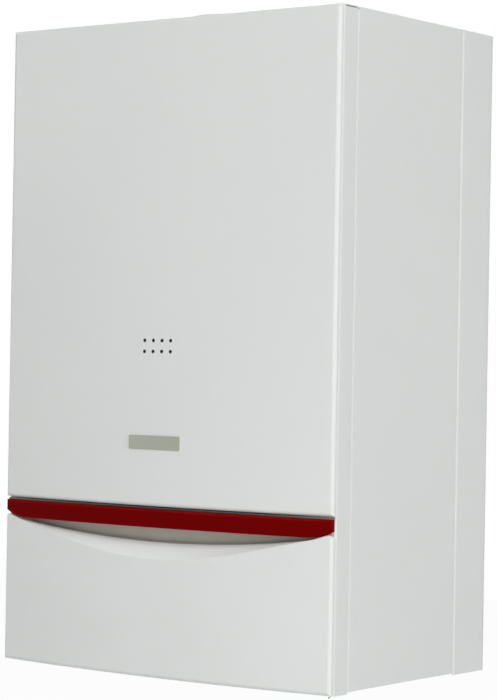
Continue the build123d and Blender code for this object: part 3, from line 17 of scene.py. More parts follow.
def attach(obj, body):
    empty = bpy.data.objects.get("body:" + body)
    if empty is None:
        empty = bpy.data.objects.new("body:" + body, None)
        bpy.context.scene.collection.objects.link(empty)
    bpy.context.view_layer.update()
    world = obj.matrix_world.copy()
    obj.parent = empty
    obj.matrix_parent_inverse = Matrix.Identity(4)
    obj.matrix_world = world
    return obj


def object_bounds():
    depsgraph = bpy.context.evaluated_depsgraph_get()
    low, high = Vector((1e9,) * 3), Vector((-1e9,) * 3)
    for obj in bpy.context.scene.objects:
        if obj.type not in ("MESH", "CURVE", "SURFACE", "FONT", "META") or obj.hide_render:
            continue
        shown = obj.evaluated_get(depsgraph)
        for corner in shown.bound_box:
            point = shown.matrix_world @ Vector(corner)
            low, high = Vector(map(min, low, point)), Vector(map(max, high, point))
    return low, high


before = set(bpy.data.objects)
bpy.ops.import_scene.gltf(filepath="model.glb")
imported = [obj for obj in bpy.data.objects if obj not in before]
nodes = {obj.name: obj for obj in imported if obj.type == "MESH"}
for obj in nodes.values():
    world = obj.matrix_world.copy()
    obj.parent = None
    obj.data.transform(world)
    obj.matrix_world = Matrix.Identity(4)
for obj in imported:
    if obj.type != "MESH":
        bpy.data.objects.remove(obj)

cad_low, cad_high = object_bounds()
MM = 0.001
HANG = 690.0
print("size", tuple(round(side, 4) for side in cad_high - cad_low))


def feed(tree, socket, value):
    """Link a socket to another one, or give it a value of its own."""
    if isinstance(value, bpy.types.NodeSocket):
        tree.links.new(value, socket)
    else:
        socket.default_value = value


def add(tree, kind, settings=None, **inputs):
    """New node in a tree; inputs are values, or sockets that are linked."""
    made = tree.nodes.new(kind)
    for key, value in (settings or {}).items():
        setattr(made, key, value)
    for key, value in inputs.items():
        feed(tree, made.inputs[key.replace("_", " ")], value)
    return made


def maths(tree, operation, first, second):
    """Output of a math node; either side is a socket or a number."""
    made = add(tree, "ShaderNodeMath", {"operation": operation})
    feed(tree, made.inputs[0], first)
    feed(tree, made.inputs[1], second)
    return made.outputs[0]


def at(x, y, z):
    """Point in metres from millimetres, with z counted from the casing's foot."""
    return Vector((x, y, z - HANG)) * MM


# %% [markdown]
# ## Camera
# The picture was taken from the front right, level with the middle of the casing. A long lens
# keeps the uprights nearly parallel. The angles were found by fitting the casing's corners; a
# camera could also be aimed by eye, but a fitted one lets shapes be compared region by region.

# %% Place the camera
FITTED_LENS = 124.14
FITTED_PLACE = (1.6521, -2.3609, -0.3368)
FITTED_ANGLES = (90.120, -0.950, 36.758)

camera_data = bpy.data.cameras.new("camera")
camera_data.sensor_width = 36.0
camera_data.lens = FITTED_LENS
camera_data.clip_start = 0.05
camera_data.clip_end = 60.0
camera = bpy.data.objects.new("camera", camera_data)
camera.location = FITTED_PLACE
camera.rotation_euler = tuple(math.radians(angle) for angle in FITTED_ANGLES)
bpy.context.scene.collection.objects.link(camera)
bpy.context.scene.camera = camera
print("camera", tuple(camera.location), "lens", camera_data.lens)

# %% [markdown]
# ## Light and room
# White sheet metal shows its form only through soft differences of light, so the lamps are large
# and gentle: a very wide one high in front, one on the right that lifts the side, a weak one low in
# front that opens the shadow under the bar, and one behind for whoever looks at the back. A single
# hard lamp would draw sharp shadows that the picture doesn't have. The room is white to the camera
# and to mirrors, while the floor still takes a soft shadow. It lies well below, because such a
# boiler hangs at breast height.

# %% Lamps, world and floor
MIDDLE = (0.0, -0.16, -0.34)
AMBIENT = 0.20
FLOOR_DROP = 0.95
FLOOR_HALF = 9
FLOOR_GLOW = 0.96

bpy.context.scene.view_settings.view_transform = "Standard"


def soft_lamp(name, place, size, power):
    """Square area lamp that looks at the middle of the boiler."""
    lamp = bpy.data.lights.new(name, "AREA")
    lamp.shape = "SQUARE"
    lamp.size = size
    lamp.energy = power
    holder = bpy.data.objects.new(name, lamp)
    holder.location = place
    aim = Vector(MIDDLE) - Vector(place)
    holder.rotation_euler = aim.to_track_quat("-Z", "Y").to_euler()
    bpy.context.scene.collection.objects.link(holder)


soft_lamp("lamp_front", (2.4, -6.2, 6.4), 5.0, 440.0)
soft_lamp("lamp_right", (3.6, -1.8, 0.2), 2.8, 68.0)
soft_lamp("lamp_low", (0.8, -4.0, -0.9), 2.0, 9.0)
soft_lamp("lamp_back", (-2.6, 4.4, 2.2), 3.0, 150.0)


def seen_directly(tree):
    """Socket that is 1 for rays from the camera and for what mirrors and glass show."""
    path = tree.nodes.new("ShaderNodeLightPath")
    seen = path.outputs["Is Camera Ray"]
    for name in ("Is Glossy Ray", "Is Transmission Ray"):
        seen = maths(tree, "MAXIMUM", seen, path.outputs[name])
    return seen


def choice(tree, factor, first, second):
    """Shader that goes from the first to the second as the factor goes from 0 to 1."""
    mixed = add(tree, "ShaderNodeMixShader")
    for socket, source in zip(mixed.inputs, (factor, first, second)):
        feed(tree, socket, source)
    return mixed.outputs["Shader"]


world = bpy.data.worlds.new("room")
bpy.context.scene.world = world
world.use_nodes = True
room = world.node_tree
room.nodes.clear()
white = (1.0, 1.0, 1.0, 1.0)
ambient = add(room, "ShaderNodeBackground", Color=white, Strength=AMBIENT)
backdrop = add(room, "ShaderNodeBackground", Color=white, Strength=1.0)
room_look = choice(room, seen_directly(room), ambient.outputs["Background"], backdrop.outputs["Background"])
add(room, "ShaderNodeOutputWorld", Surface=room_look)

floor_mesh = bpy.data.meshes.new("floor")
floor_level = cad_low.z - FLOOR_DROP
corners = [(x * FLOOR_HALF, y * FLOOR_HALF, floor_level) for x, y in ((-1, -1), (1, -1), (1, 1), (-1, 1))]
floor_mesh.from_pydata(corners, [], [(0, 1, 2, 3)])
floor = bpy.data.objects.new("floor", floor_mesh)
bpy.context.scene.collection.objects.link(floor)
pale = bpy.data.materials.new("pale_floor")
pale.use_nodes = True
floor_tree = pale.node_tree
floor_tree.nodes.clear()
matt = add(floor_tree, "ShaderNodeBsdfDiffuse", Color=(0.86, 0.86, 0.86, 1.0))
glow = add(floor_tree, "ShaderNodeEmission", Strength=1.0)
glow_share = maths(floor_tree, "MULTIPLY", seen_directly(floor_tree), FLOOR_GLOW)
floor_look = choice(floor_tree, glow_share, matt.outputs["BSDF"], glow.outputs["Emission"])
add(floor_tree, "ShaderNodeOutputMaterial", Surface=floor_look)
floor_mesh.materials.append(pale)
print("floor at", round(floor_level, 3))

# %% [markdown]
# ## Writing a finish
# A finish is a small node tree: a colour that wavers a little, a roughness that wavers with it and a
# bump for the surface's own texture. All of them read Object coordinates, and two of them also which
# way a face of the piece looks, so a pattern stays on its piece when the piece moves. Pictures could
# be used as textures, but noise needs no files and has no seams.

# %% Helpers for finishes


def surface(name, roughness=0.5, metallic=0.0, **fixed):
    """New material, its tree and its Principled shader."""
    material = bpy.data.materials.new(name)
    material.use_nodes = True
    tree = material.node_tree
    shader = tree.nodes["Principled BSDF"]
    shader.inputs["Roughness"].default_value = roughness
    shader.inputs["Metallic"].default_value = metallic
    for key, value in fixed.items():
        shader.inputs[key.replace("_", " ")].default_value = value
    return material, tree, shader


def place_on(tree, stretch=(1.0, 1.0, 1.0)):
    """Object coordinates, stretched along the piece."""
    own = tree.nodes.new("ShaderNodeTexCoord").outputs["Object"]
    return add(tree, "ShaderNodeMapping", Vector=own, Scale=stretch).outputs["Vector"]


def part_along(tree, vector, axis):
    """One of the three numbers of a vector."""
    return add(tree, "ShaderNodeSeparateXYZ", Vector=vector).outputs[axis]


def facing(tree, axis):
    """How far a face looks along an axis of its piece: from -1 to 1."""
    return part_along(tree, tree.nodes.new("ShaderNodeTexCoord").outputs["Normal"], axis)


def noise(tree, vector, scale, detail=3.0, rough=0.5):
    """Grey noise, about 0.5 on average; scale is in waves per metre."""
    made = add(tree, "ShaderNodeTexNoise", Vector=vector, Scale=scale, Detail=detail, Roughness=rough)
    return made.outputs["Fac"]


def levels(tree, value, low, high):
    """Remap the middle of a noise to the range from low to high."""
    made = add(tree, "ShaderNodeMapRange", Value=value, From_Min=0.3, From_Max=0.7, To_Min=low, To_Max=high)
    return made.outputs["Result"]


def two_tone(tree, shader, value, first, second):
    """Colour that goes from first to second as value goes from 0 to 1; gives back its node."""
    mix = tree.nodes.new("ShaderNodeMix")
    mix.data_type = "RGBA"
    tree.links.new(value, mix.inputs["Factor"])
    colours = [socket for socket in mix.inputs if socket.type == "RGBA"]
    colours[0].default_value = (*first, 1.0)
    colours[1].default_value = (*second, 1.0)
    result = [socket for socket in mix.outputs if socket.type == "RGBA"][0]
    tree.links.new(result, shader.inputs["Base Color"])
    return mix


def sheen(tree, shader, value, low, high):
    """Roughness that goes from low to high with a noise."""
    tree.links.new(levels(tree, value, low, high), shader.inputs["Roughness"])


def relief(tree, shader, height, depth, strength=1.0):
    """Bump of the given depth in metres."""
    bump = add(tree, "ShaderNodeBump", Height=height, Distance=depth, Strength=strength)
    tree.links.new(bump.outputs["Normal"], shader.inputs["Normal"])


def part_of(tree, value, low, high):
    """0 where the value is low, 1 where it is high, and a straight rise between."""
    return add(tree, "ShaderNodeMapRange", Value=value, From_Min=low, From_Max=high).outputs["Result"]


print("helpers for finishes are ready")

# %% [markdown]
# ## Paint
# The casing is steel with a baked powder coat. Seen close, the coat has a fine orange peel; seen
# from afar it is even, with only a breath of unevenness. The same recipe serves the red enamel of
# the expansion vessel and the black one of the pump, with other colours and a coarser peel. The
# walls of the viewing holes get painted shade, a near-black colour, so that the holes read dark.

# %% Painted finishes
VIEW_LEVEL = -328.7 * MM
VIEW_REACH = 30.0 * MM


def painted(name, first, second, roughness, peel, peel_scale=900.0):
    """Baked coat: two close tones in soft clouds, an uneven sheen and an orange peel."""
    material, tree, shader = surface(name, roughness, Specular_IOR_Level=0.35)
    here = place_on(tree)
    clouds = levels(tree, noise(tree, here, 2.6, 2.0), 0.0, 1.0)
    two_tone(tree, shader, clouds, first, second)
    sheen(tree, shader, noise(tree, here, 14.0, 4.0), roughness - 0.04, roughness + 0.05)
    relief(tree, shader, noise(tree, here, peel_scale, 2.0), peel, 0.5)
    return material


def sooty_holes(material, hole_shade_colour):
    """Painted shade: near-black colour on the walls of the viewing holes and of the pocket behind them."""
    tree = material.node_tree
    shader = tree.nodes["Principled BSDF"]
    paint = shader.inputs["Base Color"].links[0].from_socket
    sideways = part_of(tree, facing(tree, "Y"), -0.8, -0.5)
    centred = add(
        tree, "ShaderNodeMapping", Vector=place_on(tree), Location=(0.0, 0.0, -VIEW_LEVEL),
        Scale=(1.0, 0.0, 1.0),
    )
    away = add(tree, "ShaderNodeVectorMath", {"operation": "LENGTH"}, Vector=centred.outputs["Vector"])
    near = part_of(tree, away.outputs["Value"], VIEW_REACH + MM, VIEW_REACH)
    both = part_of(tree, maths(tree, "ADD", sideways, near), 1.2, 1.8)
    mix = two_tone(tree, shader, both, hole_shade_colour, hole_shade_colour)
    first = [socket for socket in mix.inputs if socket.type == "RGBA"][0]
    tree.links.new(paint, first)
    return material


def white_paint(name):
    """The white coat of the casing."""
    return painted(name, (0.690, 0.712, 0.696), (0.715, 0.735, 0.718), 0.46, 0.00004)


white_coat = white_paint("white_powder_coat")
# The upper panel's white coat, with painted shade in its viewing holes.
panel_coat = sooty_holes(white_paint("white_panel_coat"), (0.012, 0.012, 0.013))
red_enamel = painted("red_vessel_enamel", (0.36, 0.022, 0.016), (0.44, 0.034, 0.024), 0.32, 0.00008, 500.0)
black_enamel = painted("black_pump_enamel", (0.018, 0.018, 0.020), (0.034, 0.034, 0.038), 0.42, 0.0001, 420.0)
print("painted finishes: 4")

# %% [markdown]
# ## Mouldings
# The flap, the knobs and the control box are injection moulded. A moulding has a grain from its
# steel mould, finer than a coat's peel. The bar is tinted acrylic: tiny flecks give it depth, and
# its rounded top edge gets a painted highlight. The flap and the carrier behind the bar get painted
# light and shade in their colours, because the lamps alone don't bring light deep into the finger scoop.

# %% Moulded finishes
BAR_HEAD = (183.7 - HANG) * MM
RECESS_REACH = 38.0 * MM


def moulded_skin(tree, shader, here, roughness, grain, grain_scale=2600.0):
    """A faint rub where hands pass, and the grain of the mould."""
    sheen(tree, shader, noise(tree, here, 26.0, 5.0, 0.6), roughness - 0.05, roughness + 0.07)
    relief(tree, shader, noise(tree, here, grain_scale, 2.0), grain, 0.6)


def moulded(name, first, second, roughness, grain, grain_scale=2600.0, coat=0.0):
    """Moulded plastic: two close tones, a grain and a faint rub where hands pass."""
    material, tree, shader = surface(name, roughness, Coat_Weight=coat, Coat_Roughness=0.08)
    here = place_on(tree)
    tone = levels(tree, noise(tree, here, 9.0, 3.0), 0.0, 1.0)
    two_tone(tree, shader, tone, first, second)
    moulded_skin(tree, shader, here, roughness, grain, grain_scale)
    return material


dark_plastic = moulded("dark_grey_moulding", (0.030, 0.031, 0.034), (0.052, 0.053, 0.057), 0.50, 0.00006)
knob_plastic = moulded("grey_knob_moulding", (0.110, 0.114, 0.120), (0.150, 0.154, 0.160), 0.42, 0.00004)
blue_plastic = moulded("blue_knob_moulding", (0.014, 0.070, 0.250), (0.024, 0.096, 0.320), 0.40, 0.00003)
black_plastic = moulded("black_moulding", (0.010, 0.010, 0.011), (0.022, 0.022, 0.024), 0.50, 0.00005)
dial_face = moulded("dial_white", (0.76, 0.76, 0.73), (0.80, 0.80, 0.775), 0.45, 0.00001)


def flap_white():
    """White flap: even, with painted light where its finger scoop faces up, lighter there and faintly green
    against the red bar's pink reflection.
    """
    material, tree, shader = surface("white_flap_moulding", 0.42)
    here = place_on(tree)
    cloud = levels(tree, noise(tree, here, 9.0, 3.0), 0.0, 0.14)
    tone = maths(tree, "ADD", part_of(tree, facing(tree, "Z"), 0.25, 0.6), cloud)
    # Painted light: the second colour, lighter and faintly green, goes where faces look up.
    two_tone(tree, shader, tone, (0.694, 0.714, 0.698), (0.836, 0.868, 0.850))
    moulded_skin(tree, shader, here, 0.42, 0.00002)
    return material


def recess_grey():
    """Warm grey carrier: painted light low in the recess and painted shade up in the slit over the bar."""
    material, tree, shader = surface("warm_grey_moulding", 0.50)
    here = place_on(tree)
    # Painted light and shade: the colour goes from pale low in the recess to dark up in the slit.
    rise = part_of(tree, part_along(tree, here, "Z"), BAR_HEAD - RECESS_REACH, BAR_HEAD)
    cloud = levels(tree, noise(tree, here, 40.0, 4.0, 0.6), -0.03, 0.03)
    tone = maths(tree, "ADD", rise, cloud)
    two_tone(tree, shader, tone, (0.87, 0.862, 0.750), (0.20, 0.18, 0.158))
    moulded_skin(tree, shader, here, 0.50, 0.00004)
    return material


def red_acrylic():
    """Deep red bar: flecks under a satin face, and a painted highlight along its rounded top edge."""
    material, tree, shader = surface("red_bar_acrylic", 0.42, Specular_IOR_Level=0.02)
    here = place_on(tree)
    flecks = noise(tree, here, 1500.0, 2.0, 0.7)
    # Painted highlight: lighter red in a band along the bar's rounded top edge.
    painted_top_highlight = part_of(tree, part_along(tree, here, "Z"), BAR_HEAD - 2.6 * MM, BAR_HEAD - 1.0 * MM)
    tone = maths(tree, "ADD", painted_top_highlight, levels(tree, flecks, -0.06, 0.06))
    two_tone(tree, shader, tone, (0.142, 0.0004, 0.0008), (0.240, 0.0008, 0.0008))
    sheen(tree, shader, noise(tree, here, 18.0, 3.0), 0.38, 0.48)
    relief(tree, shader, flecks, 0.00002, 0.4)
    return material


white_plastic = flap_white()
grey_plastic = recess_grey()
red_bar = red_acrylic()
print("moulded finishes: 8")

# %% [markdown]
# ## Bare metals
# Zinc-coated sheet freezes in flakes, so its pattern is a field of cells, each with its own
# brightness. Brushed and drawn metals have lines along one direction, which is noise stretched
# fiftyfold. Cast metal is pitted. One function for each way of making keeps these apart.

# %% Metal finishes


def spangled(name, first, second):
    """Hot-dip zinc: flakes of different brightness, slightly different in gloss."""
    material, tree, shader = surface(name, 0.42, 0.85)
    here = place_on(tree)
    cells = add(tree, "ShaderNodeTexVoronoi", Vector=here, Scale=70.0, Randomness=1.0)
    flake = add(tree, "ShaderNodeSeparateColor", Color=cells.outputs["Color"]).outputs["Red"]
    two_tone(tree, shader, flake, first, second)
    gloss = add(tree, "ShaderNodeMapRange", Value=flake, To_Min=0.36, To_Max=0.52).outputs["Result"]
    tree.links.new(gloss, shader.inputs["Roughness"])
    relief(tree, shader, noise(tree, here, 420.0, 3.0), 0.00003, 0.5)
    return material


def drawn(name, first, second, roughness, stretch, lines=260.0, metallic=0.9):
    """Rolled, brushed or drawn metal: fine lines along one axis and clouds of tarnish."""
    material, tree, shader = surface(name, roughness, metallic)
    streaks = noise(tree, place_on(tree, stretch), lines, 4.0, 0.7)
    tarnish = levels(tree, noise(tree, place_on(tree), 11.0, 4.0, 0.6), 0.0, 1.0)
    two_tone(tree, shader, tarnish, first, second)
    sheen(tree, shader, streaks, roughness - 0.08, roughness + 0.10)
    relief(tree, shader, streaks, 0.00003, 0.4)
    return material


def cast(name, first, second, roughness, metallic=0.8):
    """Die-cast metal: fine pits and a skin that is dull in clouds."""
    material, tree, shader = surface(name, roughness, metallic)
    here = place_on(tree)
    skin = levels(tree, noise(tree, here, 30.0, 5.0, 0.65), 0.0, 1.0)
    two_tone(tree, shader, skin, first, second)
    pits = noise(tree, here, 650.0, 5.0, 0.7)
    sheen(tree, shader, pits, roughness - 0.06, roughness + 0.08)
    relief(tree, shader, pits, 0.00012, 0.6)
    return material


LINES_X = (0.02, 1.0, 1.0)
LINES_Z = (1.0, 1.0, 0.02)
zinc_sheet = spangled("zinc_sheet", (0.42, 0.44, 0.45), (0.62, 0.64, 0.65))
badge_metal = drawn("badge_metal", (0.335, 0.355, 0.290), (0.385, 0.400, 0.335), 0.44, LINES_X, 500.0, 0.30)
stainless = drawn("stainless_sheet", (0.50, 0.50, 0.49), (0.60, 0.60, 0.585), 0.30, LINES_X)
aluminised = drawn("aluminised_sheet", (0.52, 0.53, 0.54), (0.62, 0.63, 0.64), 0.40, LINES_Z)
copper_tube = drawn("copper_tube", (0.60, 0.26, 0.15), (0.72, 0.36, 0.22), 0.28, LINES_Z)
brass_body = cast("brass_body", (0.50, 0.36, 0.13), (0.62, 0.46, 0.19), 0.36, 0.9)
cast_grey = cast("die_cast_grey", (0.30, 0.31, 0.32), (0.42, 0.43, 0.44), 0.46)
ferrite = cast("ferrite", (0.030, 0.030, 0.032), (0.060, 0.060, 0.064), 0.55, 0.2)
print("metal finishes: 8")

# %% [markdown]
# ## Board, fibre and glass
# The circuit board is lacquered green with copper tracks that run square to its edges, which a
# brick texture gives. The combustion box is lined with pressed ceramic fibre: dull, off-white and
# matted. Glass is clear with a little dust, so that it isn't invisible.

# %% Board, fibre and glass finishes
QUARTER_TURN = (math.radians(90), 0.0, 0.0)


def lacquered_board():
    """Green solder lacquer over straight tracks."""
    material, tree, shader = surface("green_board", 0.34, Coat_Weight=0.3, Coat_Roughness=0.15)
    here = place_on(tree)
    stood = add(tree, "ShaderNodeMapping", Vector=here, Rotation=QUARTER_TURN).outputs["Vector"]
    bricks = add(tree, "ShaderNodeTexBrick", {"offset": 0.5}, Vector=stood, Scale=60.0, Mortar_Size=0.02)
    tracks = bricks.outputs["Fac"]
    two_tone(tree, shader, tracks, (0.012, 0.085, 0.035), (0.040, 0.190, 0.085))
    relief(tree, shader, tracks, 0.00006, 0.6)
    return material


def pressed_fibre():
    """Ceramic fibre: matted and dull, scorched a little in clouds."""
    material, tree, shader = surface("ceramic_fibre", 0.95)
    here = place_on(tree)
    scorch = levels(tree, noise(tree, here, 12.0, 5.0, 0.6), 0.0, 1.0)
    two_tone(tree, shader, scorch, (0.66, 0.62, 0.54), (0.78, 0.76, 0.70))
    relief(tree, shader, noise(tree, here, 900.0, 5.0, 0.8), 0.0003, 0.7)
    return material


def clear_glass():
    """Thin clear pane with a trace of dust."""
    material, tree, shader = surface("clear_glass", 0.04, Transmission_Weight=1.0, IOR=1.45)
    here = place_on(tree)
    dust = levels(tree, noise(tree, here, 60.0, 5.0, 0.7), 0.02, 0.14)
    tree.links.new(dust, shader.inputs["Roughness"])
    two_tone(tree, shader, dust, (0.92, 0.95, 0.94), (0.80, 0.83, 0.82))
    relief(tree, shader, noise(tree, here, 25.0, 2.0), 0.00002, 0.3)
    return material


board_green = lacquered_board()
fibre = pressed_fibre()
glass = clear_glass()
print("other finishes: 3")

# %% [markdown]
# ## Giving each solid its finish
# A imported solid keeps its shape; only its material slot changes. One table, read from finish to
# pieces, shows at a glance what is made of what.

# %% Finish table
finish_of = {
    white_coat: "right_frame_rail left_frame_rail right_side_panel left_side_panel top_plate "
    "back_plate front_pan",
    panel_coat: "upper_panel",
    white_plastic: "control_flap",
    grey_plastic: "grip_carrier",
    red_bar: "grip_bar",
    badge_metal: "badge_plate",
    dark_plastic: "control_box control_box_lid pressure_switch",
    knob_plastic: "mode_knob heating_knob water_knob info_button",
    blue_plastic: "filling_knob",
    red_enamel: "expansion_vessel reset_button safety_knob",
    black_enamel: "pump_motor",
    black_plastic: "gauge_needle cable_gland valve_actuator",
    dial_face: "gauge_body",
    zinc_sheet: "bottom_tray chamber_box chamber_lid fan_housing gas_manifold gas_pipe",
    stainless: "flap_pins sight_frame burner fan_impeller plate_exchanger",
    aluminised: "combustion_box flue_hood flue_socket",
    copper_tube: "heat_exchanger flow_pipe return_pipe",
    brass_body: "pump_body return_group flow_group safety_valve water_connections gas_connection",
    cast_grey: "fan_motor gas_valve",
    ferrite: "catch_magnets",
    board_green: "main_board",
    fibre: "insulation_boards electrodes",
    glass: "display_pane gauge_glass sight_glass",
}


def dress(piece, finish):
    """Give a piece one finish all over."""
    piece.data.materials.clear()
    piece.data.materials.append(finish)


for finish, names in finish_of.items():
    for name in names.split():
        dress(nodes[name], finish)
undressed = set(nodes) - set(" ".join(finish_of.values()).split())
print("dressed", len(nodes) - len(undressed), "of", len(nodes), sorted(undressed))

# %% [markdown]
# ## Growing pieces with nodes
# Screws, threads and scale marks repeat one small shape along a rule, so they are grown by
# geometry nodes: a rule can be changed in one place and every copy follows. Copying the pieces by
# hand would give the same picture but nothing to adjust. The result is made a plain mesh, which
# stays where it is when other scripts load it.

# %% Helpers for geometry nodes


def node_tree(name, sockets):
    """New geometry tree with named inputs (name, kind, default) and one geometry output."""
    tree = bpy.data.node_groups.new(name, "GeometryNodeTree")
    tree.interface.new_socket(name="Geometry", in_out="INPUT", socket_type="NodeSocketGeometry")
    for label, kind, default in sockets:
        socket = tree.interface.new_socket(name=label, in_out="INPUT", socket_type="NodeSocket" + kind)
        if default is not None:
            socket.default_value = default
    tree.interface.new_socket(name="Geometry", in_out="OUTPUT", socket_type="NodeSocketGeometry")
    return tree, tree.nodes.new("NodeGroupInput"), tree.nodes.new("NodeGroupOutput")


def close_tree(tree, geometry, entry, leave):
    """Realize the copies, give them the tree's material and end the tree."""
    real = add(tree, "GeometryNodeRealizeInstances", Geometry=geometry)
    coat = add(tree, "GeometryNodeSetMaterial", Geometry=real.outputs["Geometry"])
    tree.links.new(entry.outputs["Material"], coat.inputs["Material"])
    tree.links.new(coat.outputs["Geometry"], leave.inputs["Geometry"])


def grown(name, tree, points, attributes, values):
    """Plain mesh that the tree makes of points with attributes, given its input values."""
    seed = bpy.data.meshes.new(name + "_seed")
    seed.from_pydata([tuple(point) for point in points], [], [])
    for label, rows in attributes.items():
        kind, field = ("FLOAT_VECTOR", "vector") if hasattr(rows[0], "__len__") else ("FLOAT", "value")
        layer = seed.attributes.new(label, kind, "POINT")
        for index, row in enumerate(rows):
            setattr(layer.data[index], field, row)
    holder = bpy.data.objects.new(name + "_seed", seed)
    bpy.context.scene.collection.objects.link(holder)
    modifier = holder.modifiers.new("grow", "NODES")
    modifier.node_group = tree
    for item in tree.interface.items_tree:
        if item.in_out == "INPUT" and item.name in values:
            modifier[item.identifier] = values[item.name]
    ready = holder.evaluated_get(bpy.context.evaluated_depsgraph_get())
    mesh = bpy.data.meshes.new_from_object(ready)
    bpy.data.objects.remove(holder)
    bpy.data.meshes.remove(seed)
    return mesh


def piece_of(name, meshes, body):
    """One object of several meshes, riding on a body."""
    joined = bmesh.new()
    finishes = []
    for mesh in meshes:
        finish = mesh.materials[0]
        if finish not in finishes:
            finishes.append(finish)
        first = len(joined.faces)
        joined.from_mesh(mesh)
        joined.faces.ensure_lookup_table()
        for face in joined.faces[first:]:
            face.material_index = finishes.index(finish)
        bpy.data.meshes.remove(mesh)
    whole = bpy.data.meshes.new(name)
    joined.to_mesh(whole)
    joined.free()
    for finish in finishes:
        whole.materials.append(finish)
    made = bpy.data.objects.new(name, whole)
    bpy.context.scene.collection.objects.link(made)
    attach(made, body)
    print(name, "faces", len(whole.polygons), "on", body)


def mesh_of(name, shape, finish):
    """Mesh of one finish from a bmesh, with its faces turned outwards."""
    bmesh.ops.recalc_face_normals(shape, faces=shape.faces)
    mesh = bpy.data.meshes.new(name)
    shape.to_mesh(mesh)
    shape.free()
    mesh.materials.append(finish)
    return mesh


def triple(tree, x, y, z):
    """Vector of three sockets or numbers."""
    return add(tree, "ShaderNodeCombineXYZ", X=x, Y=y, Z=z).outputs["Vector"]


zinc_plated = cast("zinc_plated_screw", (0.46, 0.47, 0.49), (0.58, 0.59, 0.61), 0.32, 0.9)
print("helpers for grown pieces are ready")

# %% [markdown]
# ## Screws
# Pan-head screws with a cross recess hold the roof, the flue's flange, the tray and the lid of the
# sealed chamber. One head is made from a drum, a cone and two crossed slots, then set on points
# that carry the direction it faces. Solids for each would only fatten the CAD file.

# %% Screw heads
DRUM_HEAD = 0.94
CROWN_HEAD = 0.55
SLOT_LONG = 1.05
SLOT_WIDE = 0.24
WELD = 0.00001

screw_tree, entry, leave = node_tree(
    "screw_heads",
    [("Radius", "Float", 0.0036), ("Height", "Float", 0.0022), ("Material", "Material", None)],
)
radius, height = entry.outputs["Radius"], entry.outputs["Height"]


def scaled(socket, factor):
    """Socket of the screw's tree times a factor."""
    return maths(screw_tree, "MULTIPLY", socket, factor)


drum = add(
    screw_tree, "GeometryNodeMeshCone", {"fill_type": "NGON"}, Vertices=20,
    Radius_Top=scaled(radius, DRUM_HEAD), Radius_Bottom=radius, Depth=scaled(height, 0.5),
)
crown = add(
    screw_tree, "GeometryNodeMeshCone", {"fill_type": "NGON"}, Vertices=20,
    Radius_Top=scaled(radius, CROWN_HEAD), Radius_Bottom=scaled(radius, DRUM_HEAD), Depth=scaled(height, 0.5),
)
raised = add(
    screw_tree, "GeometryNodeTransform", Geometry=crown.outputs["Mesh"],
    Translation=triple(screw_tree, 0.0, 0.0, scaled(height, 0.5)),
)
head = add(screw_tree, "GeometryNodeJoinGeometry")
screw_tree.links.new(raised.outputs["Geometry"], head.inputs["Geometry"])
screw_tree.links.new(drum.outputs["Mesh"], head.inputs["Geometry"])
welded = add(screw_tree, "GeometryNodeMergeByDistance", Geometry=head.outputs["Geometry"], Distance=WELD)
recess = add(screw_tree, "GeometryNodeMeshBoolean", {"operation": "DIFFERENCE"})
screw_tree.links.new(welded.outputs["Geometry"], recess.inputs["Mesh 1"])
long_side, short_side = scaled(radius, SLOT_LONG), scaled(radius, SLOT_WIDE)
for slot_sides in ((long_side, short_side), (short_side, long_side)):
    bar = add(screw_tree, "GeometryNodeMeshCube", Size=triple(screw_tree, *slot_sides, height))
    placed = add(
        screw_tree, "GeometryNodeTransform", Geometry=bar.outputs["Mesh"],
        Translation=triple(screw_tree, 0.0, 0.0, height),
    )
    screw_tree.links.new(placed.outputs["Geometry"], recess.inputs["Mesh 2"])
outward = add(screw_tree, "GeometryNodeInputNamedAttribute", {"data_type": "FLOAT_VECTOR"}, Name="facing")
turn = add(
    screw_tree, "FunctionNodeAlignRotationToVector", {"axis": "Z"}, Vector=outward.outputs["Attribute"]
)
spin = add(screw_tree, "FunctionNodeRandomValue", {"data_type": "FLOAT"}, Seed=7)
spin_low, spin_high = spin.inputs[2], spin.inputs[3]
spin_low.default_value = 0.0
spin_high.default_value = 3.1
twist = add(
    screw_tree, "FunctionNodeAxisAngleToRotation", Axis=(0.0, 0.0, 1.0), Angle=spin.outputs[1]
)
spun = add(
    screw_tree, "FunctionNodeRotateRotation", {"rotation_space": "LOCAL"},
    Rotation=turn.outputs["Rotation"], Rotate_By=twist.outputs["Rotation"],
)
set_on = add(
    screw_tree, "GeometryNodeInstanceOnPoints", Points=entry.outputs["Geometry"],
    Instance=recess.outputs["Mesh"], Rotation=spun.outputs["Rotation"],
)
close_tree(screw_tree, set_on.outputs["Instances"], entry, leave)


def screws(name, places, facing_to, radius, height):
    """Screw heads at these points, all facing one way."""
    values = {"Radius": radius * MM, "Height": height * MM, "Material": zinc_plated}
    return grown(name, screw_tree, places, {"facing": [facing_to] * len(places)}, values)


SIDES = (-1, 1)
ROOF_REACH, ROOF_HEAD, ROOF_ROW = 216, 720, (-24, -104, -184, -258)
FLUE_RING, FLUE_Y, FLANGE_HEAD, FLUE_ANGLES = 57, -188.2, 722, (45, 135, 225, 315)
TRAY_REACH, TRAY_FACE, TRAY_ROW = 214, 1.6, (-24, -120, -254)
LID_REACH, LID_FACE, LID_COLUMN = 208.5, -263.2, (282, 365, 448, 531, 614, 697)
LID_FOOT, LID_ROW = 265, (-150, -75, 0, 75, 150)


def round_spot(radius, angle):
    """The two sides of a point on a circle round the origin; the angle is in degrees."""
    return radius * math.cos(math.radians(angle)), radius * math.sin(math.radians(angle))


